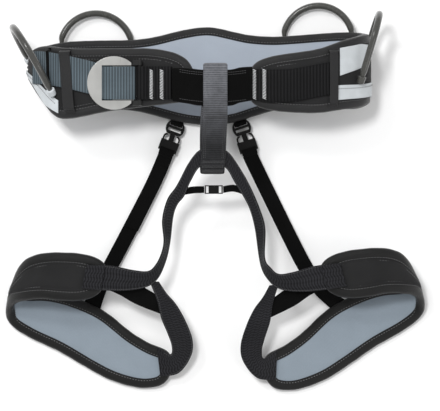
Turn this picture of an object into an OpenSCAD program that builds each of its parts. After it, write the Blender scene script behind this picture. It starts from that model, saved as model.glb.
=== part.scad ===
// Climbing harness, lying flat and opened out on a surface.
// +X runs across the harness, +Y from the leg loops to the waist belt, +Z up from the surface.

/* [Waist belt] */
// Width of the belt ring from hip to hip
waist_w = 400; // [340:5:480]
// Depth of the belt ring from its back to its front
waist_depth = 88.4; // [76:0.2:104]
// Height of the pad at the middle of the back
lumbar_h = 117; // [95:1:140]
// Clear height under the middle of the back
belt_lift = 6; // [5.5:0.5:10]

/* [Leg loops] */
// Length of each leg loop across the harness
leg_w = 204; // [170:1:250]
// Distance from the front to the back of a leg loop
leg_drop = 160; // [135:1:190]
// Height of a leg loop's front over its back
leg_depth = 63; // [54:1:75]
// Turn of the right leg loop against the left one, degrees
leg_turn = 4.5; // [0:0.5:6]

/* [Padding] */
// Thickness of the outer cover fabric
cover_t = 1; // [0.8:0.1:1.4]
// Thickness of the foam
foam_t = 4; // [3:0.25:6]
// Thickness of the inner lining
lining_t = 1; // [0.8:0.1:1.4]
// Thickness of the edge binding
binding_t = 1.3; // [1:0.1:1.6]
// Width of the edge binding
binding_w = 8; // [6:0.5:10]

/* [Webbing] */
// Width of the waist webbing
waist_web_w = 38; // [32:1:42]
// Width of the belay loop
belay_w = 28; // [22:1:32]
// Length of the belay loop from end to end
belay_len = 127; // [110:1:150]
// Thickness of a single layer of webbing
web_t = 1.6; // [1.2:0.1:2]
// Thickness of the belay loop
belay_t = 4.4; // [3.5:0.1:5.5]

/* [Waist buckle] */
// Diameter of the round buckle frame
buckle_d = 61; // [56:1:68]
// Thickness of the buckle frame
buckle_t = 3; // [2.4:0.1:3.6]
// Diameter of the bar that the webbing turns around
bar_d = 3.6; // [3:0.1:4.4]

/* [Gear loops] */
// Diameter of the gear loop tube
tube_d = 8; // [6:0.5:9]
// Diameter of the gear loop's end pins
pin_d = 5; // [4:0.5:6]
// Reach of the rear gear loops past their pins
rear_reach = 46; // [40:1:60]
// Length of the front gear loops' tube
front_tube = 190; // [170:2:220]

/* [Riser clips] */
// Width of the side-release clips
clip_w = 22.5; // [20:0.5:28]
// Thickness of the side-release clips
clip_t = 8; // [7:0.5:10]
// Width of the riser straps
riser_w = 18; // [15:1:20]

/* [Hidden] */

// Colours
charcoal = [0.20, 0.20, 0.21];
dark_edge = [0.27, 0.27, 0.28];
web_black = [0.13, 0.13, 0.14];
silver = [0.78, 0.80, 0.82];
pale_blue = [0.66, 0.70, 0.76];
slate = [0.36, 0.40, 0.50];
tube_grey = [0.33, 0.33, 0.31];
metal = [0.80, 0.80, 0.79];
plastic = [0.08, 0.08, 0.09];

// Clearances and levels
gap = 0.3;                              // between two layers that lie on each other
eps = 0.01;
$fn = 48;
edge_out = gap + binding_t;             // how far the binding stands out of a pad's faces and edges
core_in = cover_t + gap;                // depth of the core webbing's outer face
foam_in = core_in + web_t + gap;        // depth of the belt foam's outer face
lining_in = foam_in + foam_t + gap;
belt_in = lining_in + lining_t + gap;   // depth of the binding's inner leg on the belt
leg_foam_in = cover_t + gap;
leg_lining_in = leg_foam_in + foam_t + gap;
leg_in = leg_lining_in + lining_t + gap;
smooth = 0.5;                           // spline step along the belt, in stations
leg_smooth = 1 / 3;                     // spline step along a leg loop

// ---- Vectors and splines ----
function unit(v) = v / norm(v);
function lift(p, h) = [p[0], p[1], p[2] + h];
function curve4(a, b, c, d, f) =
    0.5 * (2 * b + (c - a) * f + (2 * a - 5 * b + 4 * c - d) * f * f + (3 * b - a - 3 * c + d) * f * f * f);
// A point of the smooth curve through rows, at station t
function along(rows, t) =
    let (last = len(rows) - 1, i = min(max(floor(t), 0), last - 1), f = t - i)
    curve4(rows[max(i - 1, 0)], rows[i], rows[i + 1], rows[min(i + 2, last)], f);
// The same on a closed curve
function around(rows, t) =
    let (n = len(rows), i = floor(t))
    curve4(rows[(i + n - 1) % n], rows[i % n], rows[(i + 1) % n], rows[(i + 2) % n], t - i);
function head(v) = [v[0], v[1], v[2]];
function tail(v) = [v[3], v[4], v[5]];

// ---- Strips ----
// A strip is a list of [middle, across, normal, half width]; a section is a list of [w, n]
// that runs counter-clockwise, with w across the strip and n along its normal.
function place(frame, sec) = [for (q = sec) frame[0] + q[0] * frame[1] + q[1] * frame[2]];
function strip(pairs, closed = false) =
    let (n = len(pairs))
    [for (i = [0:n - 1])
        let (a = head(pairs[i]), b = tail(pairs[i]),
             before = closed ? pairs[(i + n - 1) % n] : pairs[max(i - 1, 0)],
             after = closed ? pairs[(i + 1) % n] : pairs[min(i + 1, n - 1)],
             way = unit(head(after) + tail(after) - head(before) - tail(before)),
             side = unit(a - b))
        [(a + b) / 2, side, unit(cross(way, side)), norm(a - b) / 2]];
function fine(rows, step) = [for (t = [0:step:len(rows) - 1 + eps]) along(rows, min(t, len(rows) - 1))];

module skin(rings, closed = false) {
    n = len(rings);
    m = len(rings[0]);
    // Each four-sided patch is cut along its shorter diagonal, so that neighbouring layers match
    sides = [for (i = [0:closed ? n - 1 : n - 2], k = [0:m - 1])
        let (j = (i + 1) % n, l = (k + 1) % m, a = i * m + k, b = j * m + k, c = j * m + l, d = i * m + l)
        each norm(rings[i][k] - rings[j][l]) < norm(rings[j][k] - rings[i][l]) + eps
            ? [[a, b, c], [a, c, d]] : [[a, b, d], [b, c, d]]];
    caps = closed ? [] : [[for (k = [0:m - 1]) k], [for (k = [m - 1:-1:0]) (n - 1) * m + k]];
    polyhedron(points = [for (r = rings) each r], faces = concat(sides, caps), convexity = 10);
}
function flat_sec(h, lo, hi) = [[-h, lo], [h, lo], [h, hi], [-h, hi]];
// A pad's cover: thin under the binding, and raised by up to rise in between
function cover_sec(h, rise) =
    let (foot = max(h - binding_w - gap, 2), top = max(foot - 1, 1))
    [[-h, 0], [-foot, 0], [-top, -rise], [top, -rise], [foot, 0], [h, 0], [h, cover_t], [-h, cover_t]];
module cover(frames, plain) {
    n = len(frames);
    skin([for (i = [0:n - 1])
        place(frames[i], cover_sec(frames[i][3], i < plain || i >= n - plain ? 0 : edge_out))]);
}
function hem_sec(depth) = [[-binding_w, -edge_out], [edge_out, -edge_out],
    [edge_out, depth + binding_t], [-binding_w, depth + binding_t], [-binding_w, depth],
    [gap, depth], [gap, -gap], [-binding_w, -gap]];
module layer(frames, lo, hi) skin([for (f = frames) place(f, flat_sec(f[3], lo, hi))]);
module ribbon(frames, t, closed = false)
    skin([for (f = frames) place(f, flat_sec(f[3], -t / 2, t / 2))], closed);
// Binding around a strip: [point, outward, normal] along one edge, across the end, back along
// the other edge and across the start
function hem_edge(f, s) = [f[0] + s * f[3] * f[1], s * f[1], f[2]];
function hem_corner(f, s, way) = [f[0] + s * f[3] * f[1], unit(s * f[1] + way), f[2]];
function hem_end(f, way, steps) = [for (s = steps) [f[0] + s * f[3] * f[1], way, f[2]]];
function hem_path(frames) =
    let (n = len(frames), first = frames[0], last = frames[n - 1],
         out = cross(last[1], last[2]), back = -cross(first[1], first[2]))
    concat([for (i = [1:n - 2]) hem_edge(frames[i], 1)],
        [hem_corner(last, 1, out)], hem_end(last, out, [0.5, -0.5]), [hem_corner(last, -1, out)],
        [for (i = [n - 2:-1:1]) hem_edge(frames[i], -1)],
        [hem_corner(first, -1, back)], hem_end(first, back, [-0.5, 0.5]), [hem_corner(first, 1, back)]);
module hem(frames, depth)
    skin([for (p = hem_path(frames)) place(p, hem_sec(depth))], closed = true);

// ---- Belt ----
// [x, z, top edge, bottom edge] from the left front end, round the back, to the right front end,
// for a ring 400 wide and 88.4 deep; heights are for a lumbar pad 117 high.
belt_x0 = -20;
belt_y0 = 146;
belt_rows = [
    [-25, 88.4, 149, 117], [-35, 88.4, 160, 111], [-50, 88.4, 167, 109], [-74, 88.4, 171, 106],
    [-98, 88.4, 171, 103], [-128, 88.4, 171, 99], [-158, 86, 171, 93], [-182, 79, 173, 92],
    [-198, 67, 176, 108], [-212, 54, 174, 127], [-220, 40, 168, 139], [-215, 26, 175, 131],
    [-201, 19, 180, 119], [-177, 13.5, 185, 111], [-142, 8.5, 187, 107], [-100, 5.6, 188, 105],
    [-72, 2.6, 192, 99], [-40, 0.4, 200, 91], [-8, 0, 204, 87.5], [22, 0.2, 198, 91],
    [42, 0.8, 194, 97], [70, 4.2, 192, 105], [94, 6.8, 193, 107], [124, 10, 195, 107],
    [150, 15.5, 196, 106], [170, 26, 195, 106], [180, 41, 192, 110], [178, 56, 190, 110],
    [168, 69, 187, 105], [146, 82, 180, 102], [121, 87.4, 171, 98], [98, 88.4, 167, 98],
    [70, 88.4, 163, 100], [52, 88.4, 158, 104], [39, 88.4, 150, 109]];
belt_last = len(belt_rows) - 1;
function belt_scale(r) = [belt_x0 + (r[0] - belt_x0) * waist_w / 400,
    belt_lift + r[1] * waist_depth / 88.4,
    belt_y0 + (r[2] - belt_y0) * lumbar_h / 117 - edge_out,
    belt_y0 + (r[3] - belt_y0) * lumbar_h / 117 + edge_out];
belt_sized = [for (r = belt_rows) belt_scale(r)];
function belt_pair(t) = let (r = along(belt_sized, t)) [r[0], r[2], r[1], r[0], r[3], r[1]];
function belt_frame(t) =
    let (c = belt_pair(t), far = 0.02,
         a = belt_pair(max(t - far, 0)), b = belt_pair(min(t + far, belt_last)),
         way = unit([b[0] - a[0], 0, b[2] - a[2]]))
    [[c[0], (c[1] + c[4]) / 2, c[2]], [0, 1, 0], cross(way, [0, 1, 0]), (c[1] - c[4]) / 2];
function belt_frames(t0, t1) =
    let (n = ceil((t1 - t0) / smooth - eps))
    [for (i = [0:n]) belt_frame(t0 + (t1 - t0) * i / n)];
// A point on the belt at station t, height y and depth n (negative is outside)
function on_belt(t, y, n) = let (f = belt_frame(t)) [f[0][0], y, f[0][2]] + n * f[2];
// A patch on the belt between stations, from y_lo to y_hi, [start, end] pairs
module belt_patch(t0, t1, y_hi, y_lo, lo, hi) {
    frames = belt_frames(t0, t1);
    n = len(frames) - 1;
    skin([for (i = [0:n])
        let (f = frames[i], top = along(y_hi, i / n * (len(y_hi) - 1)),
             bot = along(y_lo, i / n * (len(y_lo) - 1)))
        place([[f[0][0], 0, f[0][2]], f[1], f[2]], [[bot, lo], [top, lo], [top, hi], [bot, hi]])]);
}
belt = belt_frames(0, belt_last);
on_top = -edge_out - gap;               // level just outside the cover

module waist_lining() color(pale_blue) layer(belt, lining_in, lining_in + lining_t);
module waist_foam() color("dimgray") layer(belt, foam_in, foam_in + foam_t);
module waist_core_webbing() color(web_black)
    skin([for (f = belt)
        let (h = min(waist_web_w / 2, f[3] - 3)) place(f, flat_sec(h, core_in, core_in + web_t))]);
module waist_cover() color(charcoal) cover(belt, 3);
module waist_binding() color(dark_edge) hem(belt, belt_in);
module side_panel_left() color(silver)
    belt_patch(6.9, 9.9, [112, 126, 141, 150], [97, 108, 131, 146], on_top - cover_t, on_top);
module side_panel_right() color(silver)
    belt_patch(25.9, 29.3, [137, 134, 131, 129], [118, 118, 115, 112], on_top - cover_t, on_top);
module side_patch_right() color(silver)
    belt_patch(27, 29.15, [178, 178, 172], [160, 150, 140], on_top - cover_t, on_top);
module lumbar_patch() color(pale_blue)
    belt_patch(16, 20.5, [180, 189, 180], [112, 98, 112], belt_in, belt_in + cover_t);

// ---- Front webbing and tie-in ----
front_z = belt_lift + waist_depth + edge_out;   // outer face of the front pads
sleeve_lo = front_z + gap;                      // underside of the tie-in sleeve
sleeve_hi = sleeve_lo + 7.4;
sleeve_wall = 1.2;
bar_x = -86.5;                                  // where the buckle's bar lies
turn_in = bar_d / 2 + gap;                      // inner radius of the webbing around the bar
bar_z = front_z + gap + web_t + turn_in + 1.2;
function level_row(x, hi, lo, z) = [x, hi, z, x, lo, z];

// Wrapped sleeve: [x, top, bottom], bulging where the belay loop pulls on it
sleeve_rows = [[-49, 148.5, 110], [-32, 148.5, 107.5], [-16, 146.5, 105], [16, 146.5, 105],
    [28, 149, 108.5], [37, 150, 111]];
module tie_in_sleeve() color(web_black) {
    mid = (sleeve_lo + sleeve_hi) / 2;
    r = (sleeve_hi - sleeve_lo) / 2;
    q = r - sleeve_wall;
    turn = [for (a = [90:-36:-90]) a];
    skin([for (s = sleeve_rows)
        let (hi = s[1] - r, lo = s[2] + r)
        place([[s[0], 0, mid], [0, 1, 0], [0, 0, 1]], concat(
            [[lo, -r], [hi, -r]], [for (a = [-54, -18, 18, 54]) [hi + r * cos(a), r * sin(a)]],
            [[hi, r], [lo, r]], [for (a = [126, 162, 198]) [lo + r * cos(a), r * sin(a)]],
            [[lo + q * cos(198), q * sin(198)]],
            [for (a = [162, 126]) [lo + q * cos(a), q * sin(a)]], [[lo, q], [hi, q]],
            [for (a = [54, 18, -18, -54]) [hi + q * cos(a), q * sin(a)]], [[hi, -q], [lo, -q]]))]);
}
module tie_in_webbing() color(web_black) {
    z = sleeve_lo + sleeve_wall + gap;
    t = sleeve_hi - sleeve_lo - 2 * sleeve_wall - 2 * gap;
    ribbon(strip([for (s = sleeve_rows) level_row(s[0], 147 - 3, 117, z + t / 2)]), t);
}
// The buckle's webbing: under the bar, round it and back over, [x, z]
module buckle_webbing() color(web_black) {
    r = turn_in + web_t / 2;
    low = front_z + gap + web_t / 2;
    hi = 150.3;
    lo = hi - waist_web_w;
    turn = [for (a = [-90:-22.5:-270]) [bar_x + r * cos(a), bar_z + r * sin(a)]];
    path = concat([[-50, low], [-62, low], [-74, low]], turn,
        [[bar_x + 5, bar_z + r - 0.3], [-74, low + web_t + gap + 1], [-66, low + web_t + gap],
            [-50, low + web_t + gap]]);
    ribbon(strip([for (p = path) level_row(p[0], hi, lo, p[1])]), web_t);
}
module right_front_webbing() color(web_black)
    belt_patch(29.35, 33.6, [157, 152, 147, 147, 148], [119, 114, 109, 109, 111],
        on_top - 2 * web_t, on_top);

// The adjustable strap: lower run from the left hip, round the slider and back over it
slider_t = 2.2;
slider_end = -94.2;                             // middle of the slider's round edge
strap_t = 1.5;
panel_step = cover_t + gap;                     // height of a side panel over the cover
strap_y = 139;                                  // height of the strap's middle beside the buckle
function hip_y(t) = let (u = t - 5.7) strap_y + 8 * u - 1.3 * u * u;   // the middle's climb to the hip
module waist_strap() color(slate) {
    low = -edge_out - panel_step - gap - strap_t / 2;   // it lies over the side panel
    z_low = front_z + gap + strap_t / 2;
    r = slider_t / 2 + gap + 0.1 + strap_t / 2;
    z_mid = z_low + r;
    upper = z_low + strap_t + gap;
    hip = [for (t = [8.7:-0.5:6.2])
        let (c = on_belt(t, 0, low)) [c[0], hip_y(t), c[2]]];
    back = [for (t = [6.2:0.5:8.7])
        let (c = on_belt(t, 0, low - strap_t - gap)) [c[0], hip_y(t), c[2]]];
    front = [[-143, 137.5, z_low], [-128, 133, z_low], [-112, 131, z_low], [slider_end - 4, 131, z_low]];
    turn = [for (a = [-90:30:90]) [slider_end + r * cos(a), 131, z_mid + r * sin(a)]];
    over = [[-112, 131, z_mid + r], [-120.5, 131, z_mid + r], [-125, 131, z_mid + r - 1.2],
        [-129.5, 131.5, upper + 0.1], [-136, 135, upper], [-143, 137.5, upper]];
    path = concat(hip, front, turn, over, back);
    half = waist_web_w / 2;
    ribbon(strip([for (p = path) [p[0], p[1] + half, p[2], p[0], p[1] - half, p[2]]]), strap_t);
}
// A keeper crosses the strap from edge to edge: [y, level] at station t
module keeper(t, slant, w, y_hi, y_lo, rise) {
    path = [[y_hi, 0], [y_hi - 2, 0], [y_hi - 4, rise], [(y_hi + y_lo) / 2, rise + 0.3], [y_lo + 5, rise],
        [y_lo + 2.5, 0], [y_lo, 0]];
    run = belt_frame(t + 0.1)[0] - belt_frame(t)[0];
    side = unit([run[0], 0, run[2]]) * w / 2;
    ribbon(strip([for (p = path)
        let (c = on_belt(t + slant * (p[0] - y_lo) / (y_hi - y_lo), p[0], on_top - cover_t / 2 - p[1]))
        concat(c - side, c + side)]), cover_t);
}
strap_stack = panel_step + 2 * strap_t + 2 * gap;
module keeper_left() color(charcoal) keeper(6.4, 0.1, 10, 171, 97, strap_stack);
module keeper_left_side() color(web_black) keeper(7.3, 0.15, 4, 173, 124, strap_stack);
module keeper_right() color(charcoal) keeper(29.45, 0, 10, 171, 104, 2 * web_t + gap);

// ---- Waist buckle ----
buckle_x = -116;
buckle_y = 131;
frame_z = front_z + gap + 2 * strap_t + 2 * gap + 0.3;   // underside of the frame
window_h = 40;
window_left = -129.6;
frame_right = -90.7;
ear_w = 6;
knuckle = 1.1;                          // metal round the bar's ends
module buckle_frame() color(metal) difference() {
    union() {
        difference() {
            translate([buckle_x, buckle_y, frame_z]) cylinder(d = buckle_d, h = buckle_t, $fn = 96);
            translate([frame_right + 2, buckle_y - buckle_d, frame_z - 1])
                cube([40, 2 * buckle_d, buckle_t + 2]);
            translate([window_left, buckle_y - window_h / 2, frame_z - 1])
                cube([60, window_h, buckle_t + 2]);
        }
        for (s = [-1, 1]) translate([bar_x, buckle_y + s * (window_h + ear_w) / 2 - ear_w / 2, bar_z])
            rotate([-90, 0, 0]) cylinder(r = bar_d / 2 + knuckle, h = ear_w);
        for (s = [-1, 1]) translate([bar_x - 8, buckle_y + s * (window_h + ear_w) / 2 - ear_w / 2, frame_z])
            cube([8, ear_w, buckle_t]);
    }
    translate([bar_x, buckle_y - buckle_d / 2, bar_z]) rotate([-90, 0, 0])
        cylinder(d = bar_d + 0.1, h = buckle_d);
}
module buckle_bar() color(metal)
    translate([bar_x, buckle_y - window_h / 2 - ear_w, bar_z]) rotate([-90, 0, 0])
        cylinder(d = bar_d, h = window_h + 2 * ear_w);
module buckle_slider() color(metal) {
    z = front_z + gap + strap_t + gap;
    l = 24;
    h = window_h - 1;
    translate([slider_end - l, buckle_y - h / 2, z]) cube([l, h, slider_t]);
    translate([slider_end, buckle_y - h / 2, z + slider_t / 2]) rotate([-90, 0, 0])
        cylinder(d = slider_t, h = h);
}

// ---- Gear loops ----
sleeve_fit = 0.08;                      // radial play of a pin in its sleeve
sleeve_r = pin_d / 2 + sleeve_fit + 1;
pin_len = 10;
plug_len = 8;
rear_off = -edge_out - gap - sleeve_r - 1.6;    // clear of the belt's bulge between a loop's ends
front_off = -edge_out - tube_d / 2 - 1.2;
rear_left_ends = [on_belt(14.96, 175, rear_off + 0.6), on_belt(12.8, 175, rear_off + 0.6)];
rear_right_ends = [on_belt(24.4, 184, rear_off), on_belt(21.5, 184, rear_off)];
front_left_ends = [on_belt(7.1, 119, front_off), on_belt(11, 160.5, front_off)];
front_right_ends = [on_belt(28.25, 133, front_off), on_belt(24.9, 148, front_off)];
rear_way = [0, 1, 0];
front_left_way = [-0.5, 0.85, 0];
front_right_way = [0.27, 0.95, 0];
// Stand the children on the line between two ends, with x along it and y along way
module on_ends(ends, way) {
    x = unit(ends[1] - ends[0]);
    y = unit(way - (way * x) * x);
    z = cross(x, y);
    o = (ends[0] + ends[1]) / 2;
    multmatrix([[x[0], y[0], z[0], o[0]], [x[1], y[1], z[1], o[1]], [x[2], y[2], z[2], o[2]]]) children();
}
function span(ends) = norm(ends[1] - ends[0]);
// The bow of a loop between legs at x = -c/2 and c/2 that start at height foot
module bow(c, reach, foot) {
    rise = reach - foot;
    r = min((rise * rise + c * c / 4) / (2 * rise), c);
    open = asin(min(c / 2 / r, 1));
    start = rise > c / 2 ? 90 : open;
    q = rise > c / 2 ? c / 2 : r;
    mid = reach - q;
    translate([0, mid, 0]) rotate([0, 0, 90 - start])
        rotate_extrude(angle = 2 * start) translate([q, 0]) circle(d = tube_d);
    for (s = [-1, 1]) {
        translate([s * c / 2, foot, 0]) sphere(d = tube_d + 0.4);
        if (rise > c / 2)
            translate([s * c / 2, foot, 0]) rotate([-90, 0, 0]) cylinder(d = tube_d, h = mid - foot);
    }
}
module rear_loop(c) {
    neck = 16;
    corner = 4;
    bow(c, rear_reach, neck);
    for (s = [-1, 1]) {
        translate([s * c / 2, corner, 0]) rotate([-90, 0, 0]) cylinder(d = pin_d, h = neck - corner);
        translate([s * (c / 2 - corner), corner, 0]) rotate([0, 0, s > 0 ? -90 : 180])
            rotate_extrude(angle = 90) translate([corner, 0]) circle(d = pin_d);
        translate([s * (c / 2 - corner), 0, 0]) rotate([0, -s * 90, 0]) cylinder(d = pin_d, h = pin_len);
    }
}
module front_loop(c) {
    // The tube is two straight legs and half a circle
    bow(c, (front_tube - PI * c / 2) / 2 + c / 2, plug_len + 3);
    for (s = [-1, 1]) translate([s * c / 2, 0, 0]) rotate([-90, 0, 0]) cylinder(d = pin_d, h = plug_len + 3);
}
module rear_sleeves(c) for (s = [-1, 1])
    translate([s * (c / 2 - 5), 0, 0]) rotate([0, -s * 90, 0]) difference() {
        cylinder(r = sleeve_r, h = pin_len - 5.5);
        translate([0, 0, -1]) cylinder(r = pin_d / 2 + sleeve_fit, h = pin_len);
    }
module front_sleeves(c) for (s = [-1, 1])
    translate([s * c / 2, 0, 0]) rotate([-90, 0, 0]) difference() {
        translate([0, 0, -1.2]) cylinder(r1 = pin_d / 2 + 1.7, r2 = pin_d / 2 + 2.6, h = plug_len - 0.5);
        translate([0, 0, -gap]) cylinder(r1 = pin_d / 2 + 0.2, r2 = pin_d / 2 + 1.9, h = plug_len);
    }
module gear_loop_front_left() color(tube_grey)
    on_ends(front_left_ends, front_left_way) front_loop(span(front_left_ends));
module gear_loop_front_right() color(tube_grey)
    on_ends(front_right_ends, front_right_way) front_loop(span(front_right_ends));
module gear_loop_rear_left() color(tube_grey)
    on_ends(rear_left_ends, rear_way) rear_loop(span(rear_left_ends));
module gear_loop_rear_right() color(tube_grey)
    on_ends(rear_right_ends, rear_way) rear_loop(span(rear_right_ends));
module loop_sleeves_front_left() color(silver)
    on_ends(front_left_ends, front_left_way) front_sleeves(span(front_left_ends));
module loop_sleeves_front_right() color(silver)
    on_ends(front_right_ends, front_right_way) front_sleeves(span(front_right_ends));
module loop_sleeves_rear_left() color(charcoal)
    on_ends(rear_left_ends, rear_way) rear_sleeves(span(rear_left_ends));
module loop_sleeves_rear_right() color(charcoal)
    on_ends(rear_right_ends, rear_way) rear_sleeves(span(rear_right_ends));

// ---- Belay loop ----
belay_top = 154;
module belay_loop() color(charcoal) {
    half = belay_t / 2;
    top_front = sleeve_hi + gap + half;
    top_rear = sleeve_lo - gap - half;
    low = belay_top - belay_len;
    shift = -4;                         // the rear run hangs a little to the left
    path = [[0, belay_top - half - 0.8, top_front - 2.6], [0, belay_top - half - 3.4, top_front],
        [0, belay_top - 20, top_front], [0, belay_top - 51, top_front],
        [0, low + 62, top_front - 4], [-1, low + 45, top_front - 8], [-2, low + 22, top_front - 11],
        [-3, low + 9, top_front - 13], [-3.5, low + half, top_front - 17.5],
        [shift, low + 8, top_rear - 7.5], [shift, low + 22, top_rear - 8],
        [shift, low + 45, top_rear - 5.5], [-3, low + 70, top_rear - 2.5],
        [-1.5, belay_top - 42, top_rear], [0, belay_top - 20, top_rear],
        [0, belay_top - half - 3.4, top_rear],
        [0, belay_top - half - 0.8, top_rear + 2.6],
        [0, belay_top - half, (top_front + top_rear) / 2]];
    rows = [for (t = [0:0.5:len(path) - 0.5]) around(path, t)];
    side = [belay_w / 2, 0, 0];
    ribbon(strip([for (p = rows) concat(p - side, p + side)], closed = true), belay_t, closed = true);
}

// ---- Leg loops ----
// A leg row is [upper edge x, y, z, lower edge x, y, z] on the left loop, heights over the resting face
leg_x0 = -44;
leg_y0 = -60;
function leg_point(p) = [leg_x0 + (p[0] - leg_x0) * leg_w / 204, leg_y0 + (p[1] - leg_y0) * leg_drop / 160,
    edge_out + p[2] * leg_depth / 63];
function leg_row(r) = concat(leg_point(head(r)), leg_point(tail(r)));
function leg_rows(rows) = [for (r = rows) leg_row(r)];
pad_rows = leg_rows([
    [-127, -77, 60, -133, -109, 58], [-153, -68, 62, -154, -118, 60], [-181, -66, 63, -182, -118, 61],
    [-202, -67, 61, -203, -116, 58], [-221, -73, 54, -227, -119, 48], [-234, -87, 42, -244, -124, 32],
    [-240, -105, 25, -250, -135, 14], [-228, -112, 8, -246, -149, 2], [-199, -114, 1, -223, -165, 0],
    [-166, -123, 0, -187, -182, 0], [-134, -138, 0, -158, -199, 0], [-104, -162, 0, -124, -217, 0],
    [-78, -177, 3, -87, -226, 0], [-53, -184, 10, -58, -221, 4]]);
// The resting part stays level, so that the back of the loop is flat
function rest(r) = [r[0], r[1], max(r[2], edge_out), r[3], r[4], max(r[5], edge_out)];
pad = [for (f = strip([for (r = fine(pad_rows, leg_smooth)) rest(r)]))
    [f[0], f[1], f[2], f[3] - edge_out]];
front_web_rows = leg_rows([
    [-149, -78, 65.2, -155, -106, 63.2], [-121, -79, 66.5, -127, -108, 64.5], [-95, -84, 68, -103, -108, 64],
    [-78, -85, 68, -80, -104, 61], [-69, -77, 69, -67, -94, 59], [-63, -65, 70, -58, -74, 58]]);
inner_web_rows = leg_rows([
    [-70, -177, 19, -66, -213, 14], [-54, -186, 24.5, -44, -209, 19], [-52, -175, 32, -29, -188, 26],
    [-57, -159, 41, -27, -168, 35], [-64, -141, 48, -35, -145, 43], [-68, -122, 52, -46, -125, 48],
    [-73, -108, 56.5, -57, -112, 52.5], [-77, -98, 60.3, -66, -98, 57]]);
elastic_rows = leg_rows([
    [-126, -88, 56, -129.5, -106, 54], [-108, -93, 54, -112, -114, 52], [-87, -103, 52, -93, -125, 49],
    [-65, -116, 50.5, -63, -137, 46.5]]);
// The right loop is the left one mirrored and turned about a point near its middle
leg_pivot = [120, -140];
module other_side() translate([leg_pivot[0], leg_pivot[1], 0]) rotate([0, 0, leg_turn])
    translate([-leg_pivot[0], -leg_pivot[1], 0]) mirror([1, 0, 0]) children();
function to_right(p) =
    let (x = -p[0] - leg_pivot[0], y = p[1] - leg_pivot[1], c = cos(leg_turn), s = sin(leg_turn))
    [leg_pivot[0] + x * c - y * s, leg_pivot[1] + x * s + y * c, p[2]];
function row_to_right(r) = concat(to_right(head(r)), to_right(tail(r)));

module leg_lining() color(pale_blue) layer(pad, leg_lining_in, leg_lining_in + lining_t);
module leg_foam() color("dimgray") layer(pad, leg_foam_in, leg_foam_in + foam_t);
module leg_cover() color(charcoal) cover(pad, 2);
module leg_binding() color(dark_edge) hem(pad, leg_in);
module leg_inner_webbing() color(web_black) ribbon(strip(fine(inner_web_rows, 0.5)), web_t);
module leg_elastic() color(web_black) ribbon(strip(fine(elastic_rows, 0.5)), 1.2);
module leg_lining_left() leg_lining();
module leg_foam_left() leg_foam();
module leg_cover_left() leg_cover();
module leg_binding_left() leg_binding();
module leg_inner_webbing_left() leg_inner_webbing();
module leg_elastic_left() leg_elastic();
module leg_lining_right() other_side() leg_lining();
module leg_foam_right() other_side() leg_foam();
module leg_cover_right() other_side() leg_cover();
module leg_binding_right() other_side() leg_binding();
module leg_inner_webbing_right() other_side() leg_inner_webbing();
module leg_elastic_right() other_side() leg_elastic();

// The strap that joins the legs' fronts and passes through the belay loop, outer edge first
bridge_hi = sleeve_hi - 12.8;                   // level of the strap's upper edge inside the belay loop
bridge_lo = bridge_hi - 1;
bridge_rows = [[-60, -50, 72, -53, -52, 60], [-62, -26, 72, -49, -22, 65], [-56, -2, 75, -44, -8, 71],
    [-45, 14, 79, -36, 2, 75], [-31, 40, 84, -29, 18, 82], [-18, 55, bridge_hi, -18, 35, bridge_lo],
    [-2, 58, bridge_hi, -2, 38, bridge_lo], [13, 54, bridge_hi, 12, 34, bridge_lo],
    [26, 38, 84, 22, 18, 82], [40, 14, 79, 33, 0, 76], [52, -14, 74, 40, -14, 69],
    [58, -36, 72, 46, -36, 63]];
function flip(rows) = [for (i = [len(rows) - 1:-1:0]) rows[i]];
module leg_bridge() color(web_black) {
    right = [for (r = flip(front_web_rows)) row_to_right(r)];
    ribbon(strip(fine(concat(front_web_rows, bridge_rows, right), 0.5)), web_t);
}

// ---- Crotch strap under the belay loop ----
crotch_z = 72;
module crotch_strap(rows) color(web_black) ribbon(strip(fine(rows, 0.5)), 1.4);
module crotch_strap_left()
    crotch_strap([[-41, 10, crotch_z + 3.4, -38, 3, crotch_z + 1.6],
        [-27, 13, crotch_z + 1, -25, 5, crotch_z + 0.5], [-13, 13.5, crotch_z, -13, 5.5, crotch_z]]);
module crotch_strap_right()
    crotch_strap([[9, 13.5, crotch_z, 9, 5.5, crotch_z], [22, 15, crotch_z + 1, 21, 7, crotch_z + 1],
        [38, 10, crotch_z + 3.8, 34, 3, crotch_z + 2.2]]);
module crotch_buckle() color(plastic) translate([-2, 9.5, crotch_z]) difference() {
    translate([-10.5, -5, -2.5]) cube([21, 10, 5]);
    for (s = [-1, 1]) translate([s * 7.5 - 1.5, -3.8, -3]) cube([3, 7.6, 6]);
    for (s = [-1, 1]) translate([s * 10 - 1.6, -4.2, -1]) cube([3.2, 8.4, 2]);
}

// ---- Riser straps and clips ----
clip_left = [-53, 70.7];
clip_left_turn = -20;
clip_right = [35.5, 71];
clip_right_turn = 18;
clip_z = 9;                             // middle of the clips
tongue_w = 6;
wall = 1.7;
module clip_at(p, turn) translate([p[0], p[1], clip_z]) rotate([0, 0, turn]) children();
module clip_socket() color(plastic) difference() {
    union() {
        translate([-clip_w / 2, -16, -clip_t / 2]) cube([clip_w, 13.5, clip_t]);
        translate([-clip_w / 2 + 2, -19, -clip_t / 2 + 1]) cube([clip_w - 4, 4, clip_t - 2]);
    }
    // Room for the arms and the tongue, open at the mouth
    translate([-clip_w / 2 + wall, -12, -clip_t / 2 + wall]) cube([clip_w - 2 * wall, 12, clip_t - 2 * wall]);
    // Windows at the sides
    for (s = [-1, 1])
        translate([s * clip_w / 2 - 2, -9.5, -clip_t / 2 + wall]) cube([4, 8, clip_t - 2 * wall]);
    // Slot for the strap
    translate([-riser_w / 2 + 1, -16.8, -clip_t]) cube([riser_w - 2, 2.4, 2 * clip_t]);
}
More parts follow.
